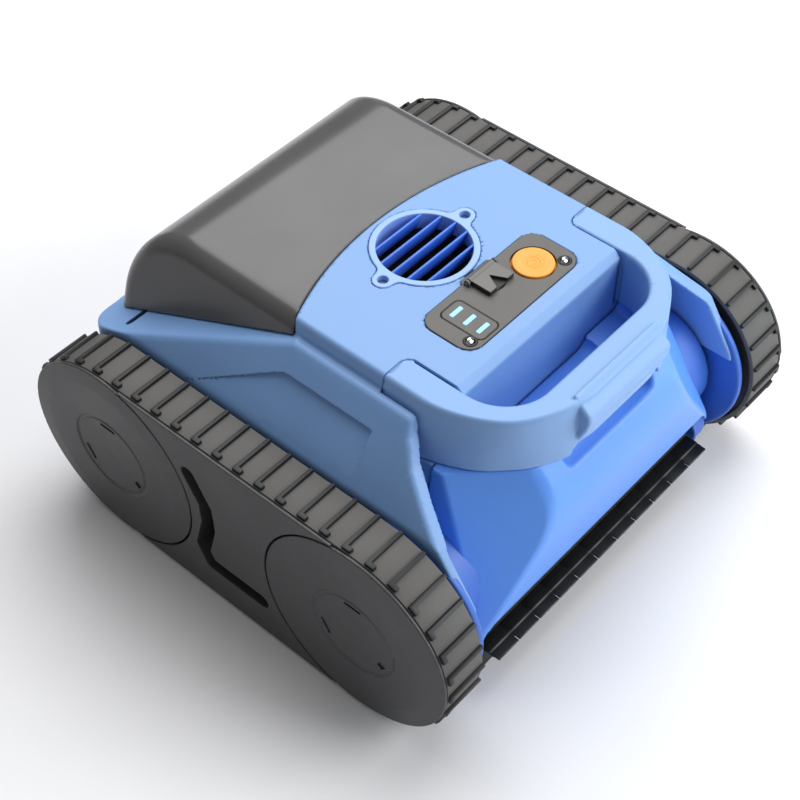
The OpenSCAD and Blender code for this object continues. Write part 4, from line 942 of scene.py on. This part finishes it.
# Slightly lighter than the panel and as matt.
cap_grey = moulded("grey elastomer, cap face", "#6E6C69", rough=0.5, grain_mm=0.4, bump=0.1)
finish(cap, cap_grey, "charge_cap", "cap_grey", "charge_cap")
cap.data.materials.append(inner_black)
# Faces that point up at the top stay grey; all the others get black, which is painted shade on the
# sides.
for face in cap.data.polygons:
    face.material_index = 0 if face.normal.z > 0.8 and face.center.z > 0.2298 else 1


# ---- screws and pins ------------------------------------------------------------------------
# Two bright dome-head screws of stainless steel that hold the panel down.
def lathe(name, profile, at, segments=48):
    """Turned piece with a vertical axis through (x, y), from (radius, height) pairs in mm."""
    points, faces = [], []
    for r, z in profile:
        for i in range(segments):
            a = 2 * math.pi * i / segments
            points.append(((at[0] + r * math.cos(a)) / 1000, (at[1] + r * math.sin(a)) / 1000,
                           z / 1000))
    for k in range(len(profile) - 1):
        for i in range(segments):
            j = (i + 1) % segments
            faces.append([k * segments + i, k * segments + j, (k + 1) * segments + j,
                          (k + 1) * segments + i])
    faces.append(list(range(segments))[::-1])
    faces.append([(len(profile) - 1) * segments + i for i in range(segments)])
    return rounded(mesh_of(name, points, faces), 0)


def metal(name, code, rough, grain_mm=0.3):
    return moulded(name, code, rough=rough, grain_mm=grain_mm, bump=0.04, tint=0.04, metallic=1.0)


# Polished: small hard glints.
bright_steel = metal("stainless steel, polished", "#D8DADD", 0.14)
dome = lathe("dome", [(1.5, -7), (1.5, -0.1), (3.9, 0), (3.9, 0.5), (3.5, 1.2), (2.6, 1.9),
                      (1.4, 2.3), (0.3, 2.4)], (0, 0))
domes = repeat("dome_screws", [((screw_mid - screw_half) / 1000, screw_y / 1000, 0.2252),
                               ((screw_mid + screw_half) / 1000, screw_y / 1000, 0.2252)],
               False, dome, 2, bright_steel)
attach(domes, "hull")
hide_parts("panel_screws")


# ---- brush ----------------------------------------------------------------------------------
# Roller with six rows of soft black paddles, each cut into eleven short blades with a thick
# root and a thin lip, vulcanised on the core tube.
# Deep black rubber with a low sheen along the blades.
brush_black = moulded("black rubber, soft brush blades", "#0D0D0E", rough=0.42, grain_mm=0.7,
                      bump=0.12)
blade_count, blade_rows = 11, 6
blade_pitch = 256 / blade_count
rows = []
for k in range(blade_rows):
    turn = math.radians(k * 360 / blade_rows)
    outline = [(-1.6, 12.6), (-1.6, 24), (-0.8, 25.2), (-0.8, 32.4), (-0.3, 33), (0.3, 33),
               (0.8, 32.4), (0.8, 25.2), (1.6, 24), (1.6, 12.6)]
    outline = [(v * math.cos(turn) - u * math.sin(turn), v * math.sin(turn) + u * math.cos(turn))
               for u, v in outline]
    half = blade_pitch / 2 - 0.6
    blade = outline_solid(f"blade_{k}", outline, -half, half, 0.25)
    ends = [((s * (128 - blade_pitch / 2)) / 1000, brush_at[0] / 1000, brush_at[1] / 1000)
            for s in (-1, 1)]
    rows.append(repeat(f"row_{k}", ends, False, blade, blade_count, brush_black))
for k in range(blade_rows):
    turn = math.radians(k * 360 / blade_rows)
    outline = [(-1.5, 12.6), (-1.5, 23.8), (-0.6, 25), (-0.6, 28.5), (0.6, 28.5), (0.6, 25),
               (1.5, 23.8), (1.5, 12.6)]
    outline = [(brush_at[0] + v * math.cos(turn) - u * math.sin(turn),
                brush_at[1] + v * math.sin(turn) + u * math.cos(turn)) for u, v in outline]
    root = outline_solid(f"root_{k}", outline, -128, 128, 0.3)
    root.data.materials.append(brush_black)
    rows.append(root)


def joined(name, parts):
    """One piece of several, at the origin."""
    bpy.ops.object.select_all(action="DESELECT")
    for part in parts:
        part.select_set(True)
    bpy.context.view_layer.objects.active = parts[0]
    bpy.ops.object.join()
    parts[0].name = parts[0].data.name = name
    return parts[0]


finish(joined("brush_blades", rows), brush_black, "brush", "brush_rubber", "brush_fins")


# ---- parts seen only in gaps or when opened ---------------------------------------------------
# Wheels, axles, gears, motors, pump, battery, basket and the rest keep their engineering mesh
# and get the finish of their real material.
finishes = {
    "shell_mid": blue_deck,
    "cover_grey": cover_grey,
    "wheel_plastic": moulded("black glass-filled nylon wheel", "#2E2E30", rough=0.5),
    "steel": metal("stainless steel, turned", "#B8BBBF", 0.28),
    "gear_nylon": moulded("natural nylon gear", "#E8E4D8", rough=0.45),
    "motor_case": metal("zinc-plated motor can", "#8C8F93", 0.35),
    "gear_brass": metal("brass pinion, hobbed", "#B08D57", 0.3),
    "brush_core_plastic": moulded("black ABS core tube", "#2A2A2C", rough=0.5),
    "brush_rubber": brush_black,
    "inner_black": inner_black,
    "board_green": moulded("green solder mask under clear potting", "#2F6B45", rough=0.3),
    "battery_case": moulded("dark ABS battery case", "#3C3F45", rough=0.5),
    "impeller_white": moulded("white acetal impeller", "#E4E4E2", rough=0.4),
    "basket_grey": moulded("grey polypropylene basket", "#5A5C60", rough=0.5),
    "filter_fabric": moulded("woven nylon filter cloth", "#C9CCD0", rough=0.8, grain_mm=1.2,
                             bump=0.6),
    "tab_orange": moulded("orange polypropylene lifting tabs", "#D98A3A", rough=0.45),
    "foam": moulded("closed-cell foam float", "#F2F0EA", rough=0.85, grain_mm=1.5, bump=0.5),
}
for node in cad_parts.values():
    for holder in node.material_slots:
        kind = holder.material.name.split(".")[0]
        if kind in finishes:
            holder.material = finishes[kind]


# ---- floor and light ------------------------------------------------------------------------
# Plain pale floor and soft studio light: a big softbox above and behind, two weaker in front.
floor_mesh = mesh_of("floor", [(-6, -6, 0), (6, -6, 0), (6, 6, 0), (-6, 6, 0)], [[0, 1, 2, 3]])
floor_paint = moulded("pale studio floor", "#F6F6F8", rough=0.6, bump=0.0, tint=0.0)
floor_mesh.data.materials.append(floor_paint)


def softbox(name, place, target, size, watts, code="#FFFFFF"):
    lamp = bpy.data.lights.new(name, "AREA")
    lamp.shape = "RECTANGLE"
    lamp.size, lamp.size_y = size
    lamp.energy = watts
    lamp.color = linear(code)[:3]
    box = bpy.data.objects.new(name, lamp)
    aim = (Vector(target) - Vector(place)).to_track_quat("-Z", "Y")
    box.matrix_world = Matrix.Translation(place) @ aim.to_matrix().to_4x4()
    bpy.context.scene.collection.objects.link(box)


softbox("top_box", (0.7, 0.5, 1.7), (0, 0, 0.1), (2.0, 2.0), 41)
softbox("front_box", (0.8, -1.5, 1.3), (0, 0, 0.12), (1.2, 0.9), 22)
softbox("low_box", (1.1, -1.7, 0.42), (0, -0.1, 0.12), (1.3, 0.6), 12, "#E2F4FF")
world = bpy.data.worlds.new("studio")
world.use_nodes = True
world.node_tree.nodes["Background"].inputs["Color"].default_value = linear("#FFFFFF")
world.node_tree.nodes["Background"].inputs["Strength"].default_value = 0.21
bpy.context.scene.world = world
bpy.context.scene.view_settings.view_transform = "Standard"
